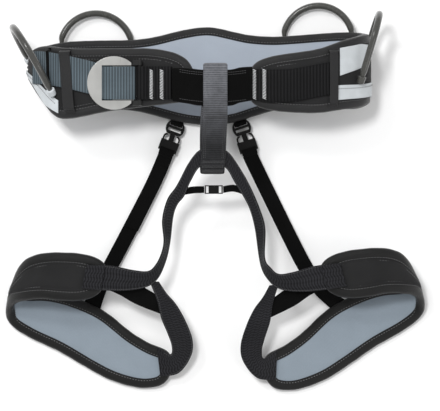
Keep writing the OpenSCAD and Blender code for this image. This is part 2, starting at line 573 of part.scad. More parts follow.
module clip_plug() color(plastic) {
    difference() {
        union() {
            translate([-clip_w / 2 + 4, 5.5, -2.5]) cube([clip_w - 8, 16, 5]);
            intersection() {
                translate([0, 13.5, -2.5]) cylinder(d = clip_w, h = 5);
                translate([-clip_w, 5.5, -5]) cube([2 * clip_w, 16, 10]);
            }
        }
        for (y = [9.5, 15.6]) translate([-riser_w / 2 + 1, y, -4]) cube([riser_w - 2, 3.2, 8]);
    }
    translate([-tongue_w / 2, -10.5, -1.5]) cube([tongue_w, 17, 3]);
}
arm_root = [6.6, 5.1];
module clip_arm() color(plastic) translate([0, 0, -1.8]) linear_extrude(3.6)
    polygon([[5.4, 5.1], [8.2, 5.1], [10.2, 2.6], [10.6, -1], [10, -3.2], [10.7, -4.2], [10.7, -8],
        [8.6, -9.4], [7.8, -8.8], [8.3, -4], [8.7, -0.5], [8.3, 1.6], [6.8, 3.2], [5.4, 3.6]]);
module clip_socket_left() clip_at(clip_left, clip_left_turn) clip_socket();
module clip_plug_left() clip_at(clip_left, clip_left_turn) clip_plug();
module clip_arm_a_left() clip_at(clip_left, clip_left_turn) clip_arm();
module clip_arm_b_left() clip_at(clip_left, clip_left_turn) mirror([1, 0, 0]) clip_arm();
module clip_socket_right() clip_at(clip_right, clip_right_turn) clip_socket();
module clip_plug_right() clip_at(clip_right, clip_right_turn) clip_plug();
module clip_arm_a_right() clip_at(clip_right, clip_right_turn) clip_arm();
module clip_arm_b_right() clip_at(clip_right, clip_right_turn) mirror([1, 0, 0]) clip_arm();

// A strap row from its middle: [x, y, z, turn] with the turn of its across direction
function mid_row(m, w) = let (c = cos(m[3]) * w / 2, s = sin(m[3]) * w / 2)
    [m[0] + c, m[1] + s, m[2], m[0] - c, m[1] - s, m[2]];
// A point of a clip, from its own frame
function clip_point(p, turn, x, y) =
    [p[0] + x * cos(turn) - y * sin(turn), p[1] + x * sin(turn) + y * cos(turn)];
function clip_mid(p, turn, y, z) = let (c = clip_point(p, turn, 0, y)) [c[0], c[1], z, turn];
// The tab: from under the belt, through the plug's upper slot and over its bar
module riser_tab(p, turn, x, y, t) color(web_black) {
    belt_z = on_belt(t, 0, on_top - web_t / 2 - 0.8)[2];
    // [y, height] around the bar
    loop = [[21, 3.7], [18.6, 3.7], [17.2, 2.4], [17.2, -2.2], [18.6, -3.7], [21, -4.4]];
    rows = concat([for (q = loop) clip_mid(p, turn, q[0], clip_z + q[1])],
        [[x, y - 3, belt_z, 0], [x, y + 8, belt_z, 0]]);
    ribbon(strip([for (m = rows) mid_row(m, riser_w - 3)]), web_t);
}
module riser_tab_left() riser_tab(clip_left, clip_left_turn, -45, 97, 16.85);
module riser_tab_right() riser_tab(clip_right, clip_right_turn, 30, 98, 19.4);
edge_row_left = leg_row([-139, -134.6, 3.8, -158, -125.9, 3.8]);
module riser_strap(p, turn, middle, last) color(web_black) {
    over = [[-12, 5.1], [-16.5, 5.1], [-20.5, 4.2], [-26, 1]];
    mids = concat([for (q = over) clip_mid(p, turn, q[0], clip_z + q[1])], middle);
    ribbon(strip(fine(concat([for (m = mids) mid_row(m, riser_w)], [last]), 0.5)), web_t);
}
module riser_strap_left()
    riser_strap(clip_left, clip_left_turn,
        [[-76, 14.5, 8, -18], [-104, -40, 8, -20], [-124, -78, 8, -22], [-137, -103, 8, -24]],
        edge_row_left);
module riser_strap_right()
    riser_strap(clip_right, clip_right_turn,
        [[66, 0, 8, 16], [94, -57, 8, 20], [109, -85, 8, 22], [126, -110, 8, 24]],
        let (r = row_to_right(edge_row_left)) concat(tail(r), head(r)));

waist_lining();
waist_foam();
waist_core_webbing();
waist_cover();
waist_binding();
side_panel_left();
side_panel_right();
side_patch_right();
lumbar_patch();
tie_in_sleeve();
tie_in_webbing();
buckle_webbing();
right_front_webbing();
waist_strap();
keeper_left();
keeper_left_side();
keeper_right();
buckle_frame();
buckle_bar();
buckle_slider();
gear_loop_front_left();
gear_loop_front_right();
gear_loop_rear_left();
gear_loop_rear_right();
loop_sleeves_front_left();
loop_sleeves_front_right();
loop_sleeves_rear_left();
loop_sleeves_rear_right();
belay_loop();
leg_bridge();
crotch_strap_left();
crotch_strap_right();
crotch_buckle();
leg_lining_left();
leg_foam_left();
leg_cover_left();
leg_binding_left();
leg_inner_webbing_left();
leg_elastic_left();
leg_lining_right();
leg_foam_right();
leg_cover_right();
leg_binding_right();
leg_inner_webbing_right();
leg_elastic_right();
riser_tab_left();
clip_plug_left();
clip_arm_a_left();
clip_arm_b_left();
clip_socket_left();
riser_strap_left();
riser_tab_right();
clip_plug_right();
clip_arm_a_right();
clip_arm_b_right();
clip_socket_right();
riser_strap_right();
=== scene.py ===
import math

import bmesh
import bpy
import numpy as np
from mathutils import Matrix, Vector


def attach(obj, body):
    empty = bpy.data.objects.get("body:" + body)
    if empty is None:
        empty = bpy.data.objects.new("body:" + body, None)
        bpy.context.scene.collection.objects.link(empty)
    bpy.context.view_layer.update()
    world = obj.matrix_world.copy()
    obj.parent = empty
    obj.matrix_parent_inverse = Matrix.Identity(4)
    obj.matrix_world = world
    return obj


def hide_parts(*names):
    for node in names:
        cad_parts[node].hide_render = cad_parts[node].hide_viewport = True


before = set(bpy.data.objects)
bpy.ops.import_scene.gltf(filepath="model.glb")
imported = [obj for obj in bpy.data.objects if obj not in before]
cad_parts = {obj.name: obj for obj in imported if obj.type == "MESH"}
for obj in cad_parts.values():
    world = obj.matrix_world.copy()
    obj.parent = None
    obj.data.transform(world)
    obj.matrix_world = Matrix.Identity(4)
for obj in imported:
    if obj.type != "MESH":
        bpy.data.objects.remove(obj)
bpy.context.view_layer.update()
print("frame loaded")

mm = 0.001
body = "harness"

# Sizes shared with the solids, in millimetres
fit = {"gap": 0.3, "cover": 1.0, "foam": 4.0, "lining": 1.0, "binding": 1.3, "bindingWidth": 8.0,
       "web": 1.6,
       "strap": 1.5, "waistWeb": 38.0, "belayWeb": 28.0, "belay": 4.4, "tube": 8.0, "pin": 5.0,
       "riser": 18.0}
gap = fit["gap"]
edgeOut = gap + fit["binding"]
foamIn = fit["cover"] + fit["web"] + 2 * gap
liningIn = foamIn + fit["foam"] + gap
beltIn = liningIn + fit["lining"] + gap
legFoamIn = fit["cover"] + gap
legLiningIn = legFoamIn + fit["foam"] + gap
legIn = legLiningIn + fit["lining"] + gap
onTop = -edgeOut - gap


# ---- Vectors, splines and strips ----
def unit(v):
    v = np.asarray(v, float)
    return v / np.maximum(np.linalg.norm(v, axis=-1, keepdims=True), 1e-9)


def curve4(a, b, c, d, f):
    return 0.5 * (2 * b + (c - a) * f + (2 * a - 5 * b + 4 * c - d) * f * f
                  + (3 * b - a - 3 * c + d) * f ** 3)


def along(rows, t):
    last = len(rows) - 1
    i = int(min(max(math.floor(t), 0), last - 1))
    return curve4(rows[max(i - 1, 0)], rows[i], rows[i + 1], rows[min(i + 2, last)], t - i)


def fine(rows, steps=6):
    rows = np.array(rows, float)
    n = (len(rows) - 1) * steps
    return np.array([along(rows, k / steps) for k in range(n + 1)])


def fineRound(rows, steps=6):  # the same on a closed row list
    rows = np.array(rows, float)
    n = len(rows)
    out = []
    for k in range(n * steps):
        i, f = divmod(k, steps)
        out.append(curve4(rows[i - 1], rows[i], rows[(i + 1) % n], rows[(i + 2) % n], f / steps))
    return np.array(out)


def evenRows(rows, step, closed=False, smooth=0):
    # Resample [edge a, edge b] rows evenly along the middle line
    rows = np.array(rows, float)
    if closed:
        rows = np.vstack([rows, rows[:1]])
    middle = (rows[:, :3] + rows[:, 3:6]) / 2
    s = np.concatenate([[0], np.cumsum(np.linalg.norm(np.diff(middle, axis=0), axis=1))])
    n = max(int(round(s[-1] / step)), 4)
    at = np.linspace(0, s[-1], n + 1)
    if closed:
        at = at[:-1]
    out = np.stack([np.interp(at, s, rows[:, k]) for k in range(rows.shape[1])], axis=1)
    for _ in range(smooth):
        if closed:
            out = (np.roll(out, 1, 0) + 2 * out + np.roll(out, -1, 0)) / 4
        else:
            out[1:-1] = (out[:-2] + 2 * out[1:-1] + out[2:]) / 4
    return out, s[-1] / n


def strip(rows, closed=False):
    # [middle, across, normal, half width] of each row
    a, b = rows[:, :3], rows[:, 3:6]
    middle = (a + b) / 2
    if closed:
        way = np.roll(middle, -1, 0) - np.roll(middle, 1, 0)
    else:
        way = np.gradient(middle, axis=0)
    side = unit(a - b)
    normal = unit(np.cross(unit(way), side))
    return middle, side, normal, np.linalg.norm(a - b, axis=1) / 2


# ---- Mesh making ----
def makeMesh(name, verts, faces, uvs, material, smooth=True):
    mesh = bpy.data.meshes.new(name)
    mesh.from_pydata([tuple(v) for v in np.asarray(verts) * mm], [], faces)
    if uvs is not None:
        layer = mesh.uv_layers.new(name="UVMap")
        layer.data.foreach_set("uv",
                               np.array([c for corners in uvs for c in corners], float).ravel())
    mesh.validate()
    if smooth:
        mesh.polygons.foreach_set("use_smooth", [True] * len(mesh.polygons))
    mesh.materials.append(material)
    piece = bpy.data.objects.new(name, mesh)
    bpy.context.scene.collection.objects.link(piece)
    return piece


def fixNormals(piece):
    work = bmesh.new()
    work.from_mesh(piece.data)
    bmesh.ops.recalc_face_normals(work, faces=work.faces)
    work.to_mesh(piece.data)
    work.free()


def sweep(name, rings, material, closed=False, step=1.0, around=None):
    # A closed section (m points) carried along n stations; UV in metres, u along and v round
    rings = np.asarray(rings, float)
    n, m = rings.shape[:2]
    if around is None:
        d = np.linalg.norm(np.roll(rings[n // 2], -1, 0) - rings[n // 2], axis=1)
        around = np.concatenate([[0], np.cumsum(d)])
    faces, uvs = [], []
    last = n if closed else n - 1
    for i in range(last):
        j = (i + 1) % n
        u0, u1 = i * step * mm, (i + 1) * step * mm
        for k in range(m):
            l = (k + 1) % m
            faces.append((i * m + k, i * m + l, j * m + l, j * m + k))
            v0, v1 = around[k] * mm, around[k + 1] * mm
            uvs.append(((u0, v0), (u0, v1), (u1, v1), (u1, v0)))
    if not closed:
        for row in (list(range(m))[::-1], [(n - 1) * m + k for k in range(m)]):
            faces.append(tuple(row))
            uvs.append(tuple((0.0, 0.0) for _ in row))
    piece = makeMesh(name, rings.reshape(-1, 3), faces, uvs, material)
    fixNormals(piece)
    return piece


def settle(piece, nodes=(), onBody=body):
    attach(piece, onBody)
    if nodes:
        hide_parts(*nodes)
    return piece


def takeModifiers(piece):
    # The evaluated mesh takes the place of the modifiers
    bpy.context.view_layer.update()
    graph = bpy.context.evaluated_depsgraph_get()
    made = bpy.data.meshes.new_from_object(piece.evaluated_get(graph))
    piece.modifiers.clear()
    piece.data = made
    return piece


# ---- Materials ----
def newMaterial(name):
    material = bpy.data.materials.new(name)
    material.use_nodes = True
    nodes = material.node_tree.nodes
    shader = nodes["Principled BSDF"]
    return material, nodes, material.node_tree.links, shader


def addNode(nodes, kind, **values):
    node = nodes.new(kind)
    for key, value in values.items():
        setattr(node, key, value)
    return node


def mathNode(nodes, links, operation, a, b=None, c=None):
    node = addNode(nodes, "ShaderNodeMath", operation=operation)
    for k, value in enumerate((a, b, c)):
        if value is None:
            continue
        if isinstance(value, (int, float)):
            node.inputs[k].default_value = value
        else:
            links.new(value, node.inputs[k])
    return node.outputs[0]


def fabric(name, look):
    # Woven cloth: warp and weft from the piece's own UV, soft colour drift, painted shade in the
    # weave's hollows and painted highlights on its raised yarns
    material, nodes, links, shader = newMaterial(name)
    uv = addNode(nodes, "ShaderNodeUVMap", uv_map="UVMap")
    split = addNode(nodes, "ShaderNodeSeparateXYZ")
    links.new(uv.outputs[0], split.inputs[0])
    u = mathNode(nodes, links, "MULTIPLY", split.outputs[0], 2 * math.pi / look["pitchAlong"])
    across = split.outputs[1]
    if look.get("chevron"):
        across = mathNode(nodes, links, "PINGPONG", across,
                          look["chevron"])  # a herringbone turns back across the width
    v = mathNode(nodes, links, "MULTIPLY", across, 2 * math.pi / look["pitchAcross"])
    if look.get("ribbed"):
        u = mathNode(nodes, links, "SUBTRACT", u,
                     math.pi / 2)  # painted highlight on the ribs, painted shade between them
    if look.get("twill"):
        u = mathNode(nodes, links, "ADD", u, mathNode(nodes, links, "MULTIPLY", v, look["twill"]))
    warp = mathNode(nodes, links, "SINE", u)
    weft = mathNode(nodes, links, "SINE", v)
    weave = mathNode(nodes, links, "MULTIPLY", warp, weft) if look.get("plain", True) else mathNode(
        nodes, links, "MULTIPLY_ADD", warp, 0.75, mathNode(nodes, links, "MULTIPLY", weft, 0.25))
    place = addNode(nodes, "ShaderNodeTexCoord")
    fuzz = addNode(nodes, "ShaderNodeTexNoise")
    fuzz.inputs["Scale"].default_value = look.get("fuzzScale", 900.0)
    fuzz.inputs["Detail"].default_value = 3.0
    links.new(place.outputs["Object"], fuzz.inputs["Vector"])
    drift = addNode(nodes, "ShaderNodeTexNoise")
    drift.inputs["Scale"].default_value = look.get("driftScale", 28.0)
    drift.inputs["Detail"].default_value = 9.0
    links.new(place.outputs["Object"], drift.inputs["Vector"])
    height = mathNode(nodes, links, "MULTIPLY_ADD", fuzz.outputs["Fac"], look.get("fuzz", 0.5),
                      weave)
    # Colour: base, with painted shade in the hollows and a painted highlight where the yarns stand
    # up
    low = addNode(nodes, "ShaderNodeMapRange")
    low.inputs["From Min"].default_value = -1.0
    low.inputs["From Max"].default_value = 1.5
    low.inputs["To Min"].default_value = 1 - look.get("paintedRelief", 0.3)
    low.inputs["To Max"].default_value = 1 + look.get("paintedRelief", 0.3)
    links.new(height, low.inputs["Value"])
    drifted = mathNode(nodes, links, "MULTIPLY_ADD", drift.outputs["Fac"], look.get("drift", 0.6),
                       1 - look.get("drift", 0.6) / 2)
    factor = mathNode(nodes, links, "MULTIPLY", low.outputs[0], drifted)
    if look.get("fade"):  # lighter towards the top: [low y, high y, how dark the low end is]
        spot = addNode(nodes, "ShaderNodeSeparateXYZ")
        links.new(place.outputs["Object"], spot.inputs[0])
        fade = addNode(nodes, "ShaderNodeMapRange")
        for label, value in zip(("From Min", "From Max", "To Min"), look["fade"]):
            fade.inputs[label].default_value = value
        links.new(spot.outputs[1], fade.inputs["Value"])
        factor = mathNode(nodes, links, "MULTIPLY", factor, fade.outputs[0])
    tint = addNode(nodes, "ShaderNodeVectorMath", operation="SCALE")
    tint.inputs[0].default_value = look["color"]
    links.new(factor, tint.inputs["Scale"])
    links.new(tint.outputs[0], shader.inputs["Base Color"])
    rough = addNode(nodes, "ShaderNodeMapRange")
    rough.inputs["To Min"].default_value = look.get("rough", 0.75) + 0.1
    rough.inputs["To Max"].default_value = look.get("rough", 0.75) - 0.1
    links.new(drift.outputs["Fac"], rough.inputs["Value"])
    links.new(rough.outputs[0], shader.inputs["Roughness"])
    bump = addNode(nodes, "ShaderNodeBump")
    bump.inputs["Strength"].default_value = look.get("bump", 0.5)
    bump.inputs["Distance"].default_value = look.get("bumpDepth", 0.0002)
    links.new(height, bump.inputs["Height"])
    links.new(bump.outputs[0], shader.inputs["Normal"])
    shader.inputs["Sheen Weight"].default_value = look.get("sheen", 0.05)
    shader.inputs["Sheen Roughness"].default_value = 0.45
    shader.inputs["Specular IOR Level"].default_value = look.get("specular", 0.22)
    return material


def brushedMetal(name, look):
    material, nodes, links, shader = newMaterial(name)
    place = addNode(nodes, "ShaderNodeTexCoord")
    stretch = addNode(nodes, "ShaderNodeMapping")
    stretch.inputs["Scale"].default_value = look["stretch"]
    links.new(place.outputs["Object"], stretch.inputs["Vector"])
    brush = addNode(nodes, "ShaderNodeTexNoise")
    brush.inputs["Scale"].default_value = 260.0
    brush.inputs["Detail"].default_value = 5.0
    links.new(stretch.outputs[0], brush.inputs["Vector"])
    cloud = addNode(nodes, "ShaderNodeTexNoise")
    cloud.inputs["Scale"].default_value = 34.0
    links.new(place.outputs["Object"], cloud.inputs["Vector"])
    rough = mathNode(nodes, links, "MULTIPLY_ADD", brush.outputs["Fac"], 0.14, look["rough"])
    links.new(rough, shader.inputs["Roughness"])
    shade = mathNode(nodes, links, "MULTIPLY_ADD", cloud.outputs["Fac"], 0.6, 0.62)
    tint = addNode(nodes, "ShaderNodeVectorMath", operation="SCALE")
    tint.inputs[0].default_value = look["color"]
    links.new(shade, tint.inputs["Scale"])
    links.new(tint.outputs[0], shader.inputs["Base Color"])
    bump = addNode(nodes, "ShaderNodeBump")
    bump.inputs["Strength"].default_value = 0.12
    bump.inputs["Distance"].default_value = 0.0001
    links.new(brush.outputs["Fac"], bump.inputs["Height"])
    links.new(bump.outputs[0], shader.inputs["Normal"])
    shader.inputs["Metallic"].default_value = 1.0
    return material


def moulded(name, look):
    # Plastic: fine mould grain, scuffs that lighten it, soft gloss
    material, nodes, links, shader = newMaterial(name)
    place = addNode(nodes, "ShaderNodeTexCoord")
    grain = addNode(nodes, "ShaderNodeTexNoise")
    grain.inputs["Scale"].default_value = look.get("grainScale", 1500.0)
    links.new(place.outputs["Object"], grain.inputs["Vector"])
    scuff = addNode(nodes, "ShaderNodeTexNoise")
    scuff.inputs["Scale"].default_value = 130.0
    scuff.inputs["Detail"].default_value = 6.0
    links.new(place.outputs["Object"], scuff.inputs["Vector"])
    shade = mathNode(nodes, links, "MULTIPLY_ADD", scuff.outputs["Fac"], look.get("drift", 0.5),
                     1 - look.get("drift", 0.5) / 2)
    tint = addNode(nodes, "ShaderNodeVectorMath", operation="SCALE")
    tint.inputs[0].default_value = look["color"]
    links.new(shade, tint.inputs["Scale"])
    links.new(tint.outputs[0], shader.inputs["Base Color"])
    rough = mathNode(nodes, links, "MULTIPLY_ADD", scuff.outputs["Fac"], 0.2, look["rough"])
    links.new(rough, shader.inputs["Roughness"])
    bump = addNode(nodes, "ShaderNodeBump")
    bump.inputs["Strength"].default_value = look.get("bump", 0.15)
    bump.inputs["Distance"].default_value = 0.0001
    links.new(grain.outputs["Fac"], bump.inputs["Height"])
    links.new(bump.outputs[0], shader.inputs["Normal"])
    shader.inputs["Specular IOR Level"].default_value = look.get("specular", 0.5)
    if look.get("coat"):
        shader.inputs["Coat Weight"].default_value = look["coat"]
        shader.inputs["Coat Roughness"].default_value = 0.12
    return material


# In each fabric look, the relief amount sets how strong the painted shade in the weave's hollows
# and the painted highlight on its raised yarns are
looks = {
    "cover": fabric("charcoalCloth", {
        "color": (0.018, 0.018, 0.0185), "pitchAlong": 0.0011, "pitchAcross": 0.0011,
        "paintedRelief": 0.3, "bump": 0.5, "rough": 0.72, "sheen": 0.06, "specular": 0.12}),
    "legCover": fabric("legCloth", {
        "color": (0.0175, 0.0175, 0.018), "pitchAlong": 0.0013, "pitchAcross": 0.0011,
        "paintedRelief": 0.28, "bump": 0.5, "rough": 0.7, "sheen": 0.06, "specular": 0.12}),
    "binding": fabric("edgeTape", {
        "color": (0.014, 0.014, 0.0145), "pitchAlong": 0.0012, "pitchAcross": 0.0016,
        "paintedRelief": 0.3, "bump": 0.45, "rough": 0.38, "sheen": 0.05, "specular": 0.3}),
    "legBinding": fabric("legTape", {
        "color": (0.008, 0.008, 0.008), "pitchAlong": 0.0012, "pitchAcross": 0.0016,
        "paintedRelief": 0.3, "bump": 0.45, "rough": 0.36, "sheen": 0.05, "specular": 0.25}),
    "lining": fabric("paleLining", {
        "color": (0.318, 0.355, 0.41), "pitchAlong": 0.0018, "pitchAcross": 0.0018,
        "paintedRelief": 0.09, "bump": 0.4, "rough": 0.85, "sheen": 0.1, "drift": 0.14,
        "fuzzScale": 700.0, "fuzz": 1.0, "specular": 0.2}),
    "legLining": fabric("legLiningCloth", {
        "color": (0.22, 0.26, 0.3), "pitchAlong": 0.0018, "pitchAcross": 0.0018, "paintedRelief": 0.11,
        "bump": 0.45, "rough": 0.85, "sheen": 0.1, "drift": 0.2, "fuzzScale": 600.0, "fuzz": 1.1,
        "specular": 0.2}),
    "silver": fabric("silverCloth", {
        "color": (0.54, 0.57, 0.59), "pitchAlong": 0.001, "pitchAcross": 0.001, "paintedRelief": 0.07,
        "bump": 0.6, "rough": 0.45, "sheen": 0.05, "drift": 0.4, "driftScale": 60.0}),
    "web": fabric("blackWebbing", {
        "color": (0.0065, 0.0065, 0.007), "pitchAlong": 0.0036, "pitchAcross": 0.0012,
        "paintedRelief": 0.9, "bump": 0.6, "rough": 0.42, "sheen": 0.03, "plain": False,
        "ribbed": True, "specular": 0.1}),
    "sleeve": fabric("sleeveCloth", {
        "color": (0.0032, 0.0032, 0.0032), "pitchAlong": 0.0016, "pitchAcross": 0.0016,
        "paintedRelief": 0.4, "bump": 0.5, "rough": 0.6, "sheen": 0.03, "specular": 0.04}),
    "strap": fabric("slateWebbing", {
        "color": (0.062, 0.081, 0.094), "pitchAlong": 0.0036, "pitchAcross": 0.0014,
        "paintedRelief": 0.75, "bump": 0.5, "rough": 0.55, "sheen": 0.05, "plain": False,
        "ribbed": True, "specular": 0.2}),
    "belay": fabric("belayWebbing", {
        "color": (0.066, 0.068, 0.075), "pitchAlong": 0.0036, "pitchAcross": 0.0014,
        "paintedRelief": 0.95, "bump": 0.6, "rough": 0.5, "sheen": 0.05, "plain": False,
        "ribbed": True, "specular": 0.2, "fade": (0.06, 0.13, 0.13), "fuzz": 2.2,
        "fuzzScale": 420.0, "drift": 0.9, "driftScale": 90.0}),
    "bridge": fabric("bridgeWebbing", {
        "color": (0.0125, 0.0125, 0.0145), "pitchAlong": 0.0056, "pitchAcross": 0.0034,
        "paintedRelief": 0.95, "bump": 0.7, "rough": 0.45, "sheen": 0.04, "twill": 0.4,
        "chevron": 0.0052, "plain": False, "fuzz": 0.4, "specular": 0.15}),
    "riser": fabric("riserWebbing", {
        "color": (0.0035, 0.0035, 0.0035), "pitchAlong": 0.0016, "pitchAcross": 0.0012,
        "paintedRelief": 0.4, "bump": 0.35, "rough": 0.75, "sheen": 0.02, "specular": 0.05}),
    "paleThread": fabric("paleThread", {
        "color": (0.7, 0.71, 0.72), "pitchAlong": 0.001, "pitchAcross": 0.001, "paintedRelief": 0.3,
        "bump": 0.3, "rough": 0.7, "sheen": 0.1, "fuzzScale": 2500.0}),
    "greyThread": fabric("greyThread", {
        "color": (0.15, 0.15, 0.153), "pitchAlong": 0.001, "pitchAcross": 0.001, "paintedRelief": 0.3,
        "bump": 0.3, "rough": 0.7, "sheen": 0.1, "fuzzScale": 2500.0}),
    "blackThread": fabric("blackThread", {
        "color": (0.06, 0.06, 0.062), "pitchAlong": 0.001, "pitchAcross": 0.001, "paintedRelief": 0.3,
        "bump": 0.3, "rough": 0.5, "sheen": 0.1, "fuzzScale": 2500.0}),
    "metal": brushedMetal("brushedSteel", {
        "color": (0.7, 0.7, 0.68), "rough": 0.24, "stretch": (1.0, 0.06, 1.0)}),
    "darkMetal": brushedMetal("blackenedSteel", {
        "color": (0.05, 0.05, 0.05), "rough": 0.3, "stretch": (1.0, 1.0, 1.0)}),
    "tube": moulded("loopTube", {
        "color": (0.04, 0.04, 0.036), "rough": 0.16, "coat": 0.5, "drift": 0.35}),
    "clip": moulded("blackPlastic", {
        "color": (0.004, 0.004, 0.004), "rough": 0.3, "drift": 0.4, "specular": 0.2}),
}
print("materials made")


# ---- Stitches: one Geometry Nodes tree for every sewn line ----
def stitchTree():
    tree = bpy.data.node_groups.new("stitchRun", "GeometryNodeTree")
    for label, kind, way in (("Geometry", "NodeSocketGeometry", "INPUT"),
                             ("Spacing", "NodeSocketFloat", "INPUT"),
                             ("Thread length", "NodeSocketFloat", "INPUT"),
                             ("Thread width", "NodeSocketFloat", "INPUT"),
                             ("Turn", "NodeSocketFloat", "INPUT"),
                             ("Seed", "NodeSocketInt", "INPUT"),
                             ("Thread", "NodeSocketMaterial", "INPUT"),
                             ("Geometry", "NodeSocketGeometry", "OUTPUT")):
        tree.interface.new_socket(name=label, in_out=way, socket_type=kind)
    nodes, links = tree.nodes, tree.links
    given = nodes.new("NodeGroupInput")
    result = nodes.new("NodeGroupOutput")
    toCurve = nodes.new("GeometryNodeMeshToCurve")
    resample = addNode(nodes, "GeometryNodeResampleCurve")
    resample.mode = "LENGTH"
    ball = nodes.new("GeometryNodeMeshUVSphere")
    ball.inputs["Segments"].default_value = 6
    ball.inputs["Rings"].default_value = 5
    ball.inputs["Radius"].default_value = 0.5
    size = nodes.new("ShaderNodeCombineXYZ")
    shape = nodes.new("GeometryNodeTransform")
    place = nodes.new("GeometryNodeInstanceOnPoints")
    tangent = nodes.new("GeometryNodeInputTangent")
    normal = addNode(nodes, "GeometryNodeInputNamedAttribute", data_type="FLOAT_VECTOR")
    normal.inputs["Name"].default_value = "surfaceNormal"
    axes = addNode(nodes, "FunctionNodeAxesToRotation", primary_axis="Z", secondary_axis="X")
    jitter = addNode(nodes, "FunctionNodeRandomValue", data_type="FLOAT")
    jitter.inputs[2].default_value = -0.08
    jitter.inputs[3].default_value = 0.08
    angle = addNode(nodes, "ShaderNodeMath", operation="ADD")
    spin = nodes.new("FunctionNodeAxisAngleToRotation")
    spin.inputs["Axis"].default_value = (0, 0, 1)
    turned = addNode(nodes, "FunctionNodeRotateRotation", rotation_space="LOCAL")
    real = nodes.new("GeometryNodeRealizeInstances")
    paint = nodes.new("GeometryNodeSetMaterial")
    smooth = nodes.new("GeometryNodeSetShadeSmooth")
    links.new(given.outputs["Geometry"], toCurve.inputs[0])
    links.new(toCurve.outputs[0], resample.inputs["Curve"])
    links.new(given.outputs["Spacing"], resample.inputs["Length"])
    links.new(resample.outputs[0], place.inputs["Points"])
    links.new(given.outputs["Thread length"], size.inputs[0])
    links.new(given.outputs["Thread width"], size.inputs[1])
    links.new(given.outputs["Thread width"], size.inputs[2])
    links.new(ball.outputs["Mesh"], shape.inputs["Geometry"])
    links.new(size.outputs[0], shape.inputs["Scale"])
    links.new(shape.outputs[0], place.inputs["Instance"])
    links.new(normal.outputs["Attribute"], axes.inputs[0])
    links.new(tangent.outputs[0], axes.inputs[1])
    links.new(given.outputs["Seed"], jitter.inputs["Seed"])
    links.new(given.outputs["Turn"], angle.inputs[0])
    links.new(jitter.outputs[1], angle.inputs[1])
    links.new(angle.outputs[0], spin.inputs["Angle"])
    links.new(axes.outputs[0], turned.inputs[0])
    links.new(spin.outputs[0], turned.inputs[1])
    links.new(turned.outputs[0], place.inputs["Rotation"])
    links.new(place.outputs[0], real.inputs[0])
    links.new(real.outputs[0], smooth.inputs[0])
    links.new(smooth.outputs[0], paint.inputs["Geometry"])
    links.new(given.outputs["Thread"], paint.inputs["Material"])
    links.new(paint.outputs[0], result.inputs[0])
    return tree


stitches = stitchTree()
runStitch = {"Spacing": 3.4, "Thread length": 2.3, "Thread width": 0.75, "Turn": 0.0, "Seed": 3}
tackStitch = {"Spacing": 1.7, "Thread length": 5.8, "Thread width": 0.85,
              "Turn": math.radians(66), "Seed": 5}


def sew(name, runs, sizes, thread, onBody=body):
    # runs: [points, normals] lines in millimetres on the surface
    verts, edges, normals = [], [], []
    for points, away in runs:
        start = len(verts)
        verts += [tuple(np.asarray(p) * mm) for p in points]
        normals += [tuple(n) for n in away]
        edges += [(start + k, start + k + 1) for k in range(len(points) - 1)]
    mesh = bpy.data.meshes.new(name)
    mesh.from_pydata(verts, edges, [])
    stored = mesh.attributes.new("surfaceNormal", "FLOAT_VECTOR", "POINT")
    stored.data.foreach_set("vector", np.array(normals, np.float32).ravel())
    piece = bpy.data.objects.new(name, mesh)
    bpy.context.scene.collection.objects.link(piece)
    modifier = piece.modifiers.new("stitches", "NODES")
    modifier.node_group = stitches
    for item in stitches.interface.items_tree:
        if item.in_out != "INPUT" or item.name == "Geometry":
            continue
        if item.name == "Thread":
            modifier[item.identifier] = looks[thread]
        elif item.name in ("Turn", "Seed"):
            modifier[item.identifier] = sizes[item.name]
        else:
            modifier[item.identifier] = sizes[item.name] * mm
    takeModifiers(piece)
    layer = piece.data.uv_layers.get("UVMap") or piece.data.uv_layers.new(name="UVMap")
    layer.active = True
    if "surfaceNormal" in piece.data.attributes:
        piece.data.attributes.remove(piece.data.attributes["surfaceNormal"])
    return settle(piece, onBody=onBody)


# ---- Belt ----
beltLift, frontHeight = 6, 88.4  # height of the belt over the surface, and of its front in the rows
beltRows = [  # x, height, top edge, bottom edge: left front end, round the back, right front end
    [-25, 88.4, 149, 117], [-35, 88.4, 160, 111], [-50, 88.4, 167, 109], [-74, 88.4, 171, 106],
    [-98, 88.4, 171, 103], [-128, 88.4, 171, 99], [-158, 86, 171, 93], [-182, 79, 173, 92],
    [-198, 67, 176, 108], [-212, 54, 174, 127], [-220, 40, 168, 139], [-215, 26, 175, 131],
    [-201, 19, 180, 119], [-177, 13.5, 185, 111], [-142, 8.5, 187, 107], [-100, 5.6, 188, 105],
    [-72, 2.6, 192, 99], [-40, 0.4, 200, 91], [-8, 0, 204, 87.5], [22, 0.2, 198, 91],
    [42, 0.8, 194, 97], [70, 4.2, 192, 105], [94, 6.8, 193, 107], [124, 10, 195, 107],
    [150, 15.5, 196, 106], [170, 26, 195, 106], [180, 41, 192, 110], [178, 56, 190, 110],
    [168, 69, 187, 105], [146, 82, 180, 102], [121, 87.4, 171, 98], [98, 88.4, 167, 98],
    [70, 88.4, 163, 100], [52, 88.4, 158, 104], [39, 88.4, 150, 109]]
beltSized = np.array([[r[0], beltLift + r[1], r[2] - edgeOut, r[3] + edgeOut]
                      for r in beltRows], float)
beltLast = len(beltRows) - 1
upward = np.array([0.0, 1.0, 0.0])


def beltFrame(t):
    r = along(beltSized, t)
    a, b = along(beltSized, max(t - 0.02, 0)), along(beltSized, min(t + 0.02, beltLast))
    way = unit([b[0] - a[0], 0, b[1] - a[1]])
    return np.array([r[0], (r[2] + r[3]) / 2, r[1]]), np.cross(way, upward), (r[2] - r[3]) / 2, way


def onBelt(t, y, depth):
    middle, normal, _, _ = beltFrame(t)
    return np.array([middle[0], y, middle[2]]) + depth * normal


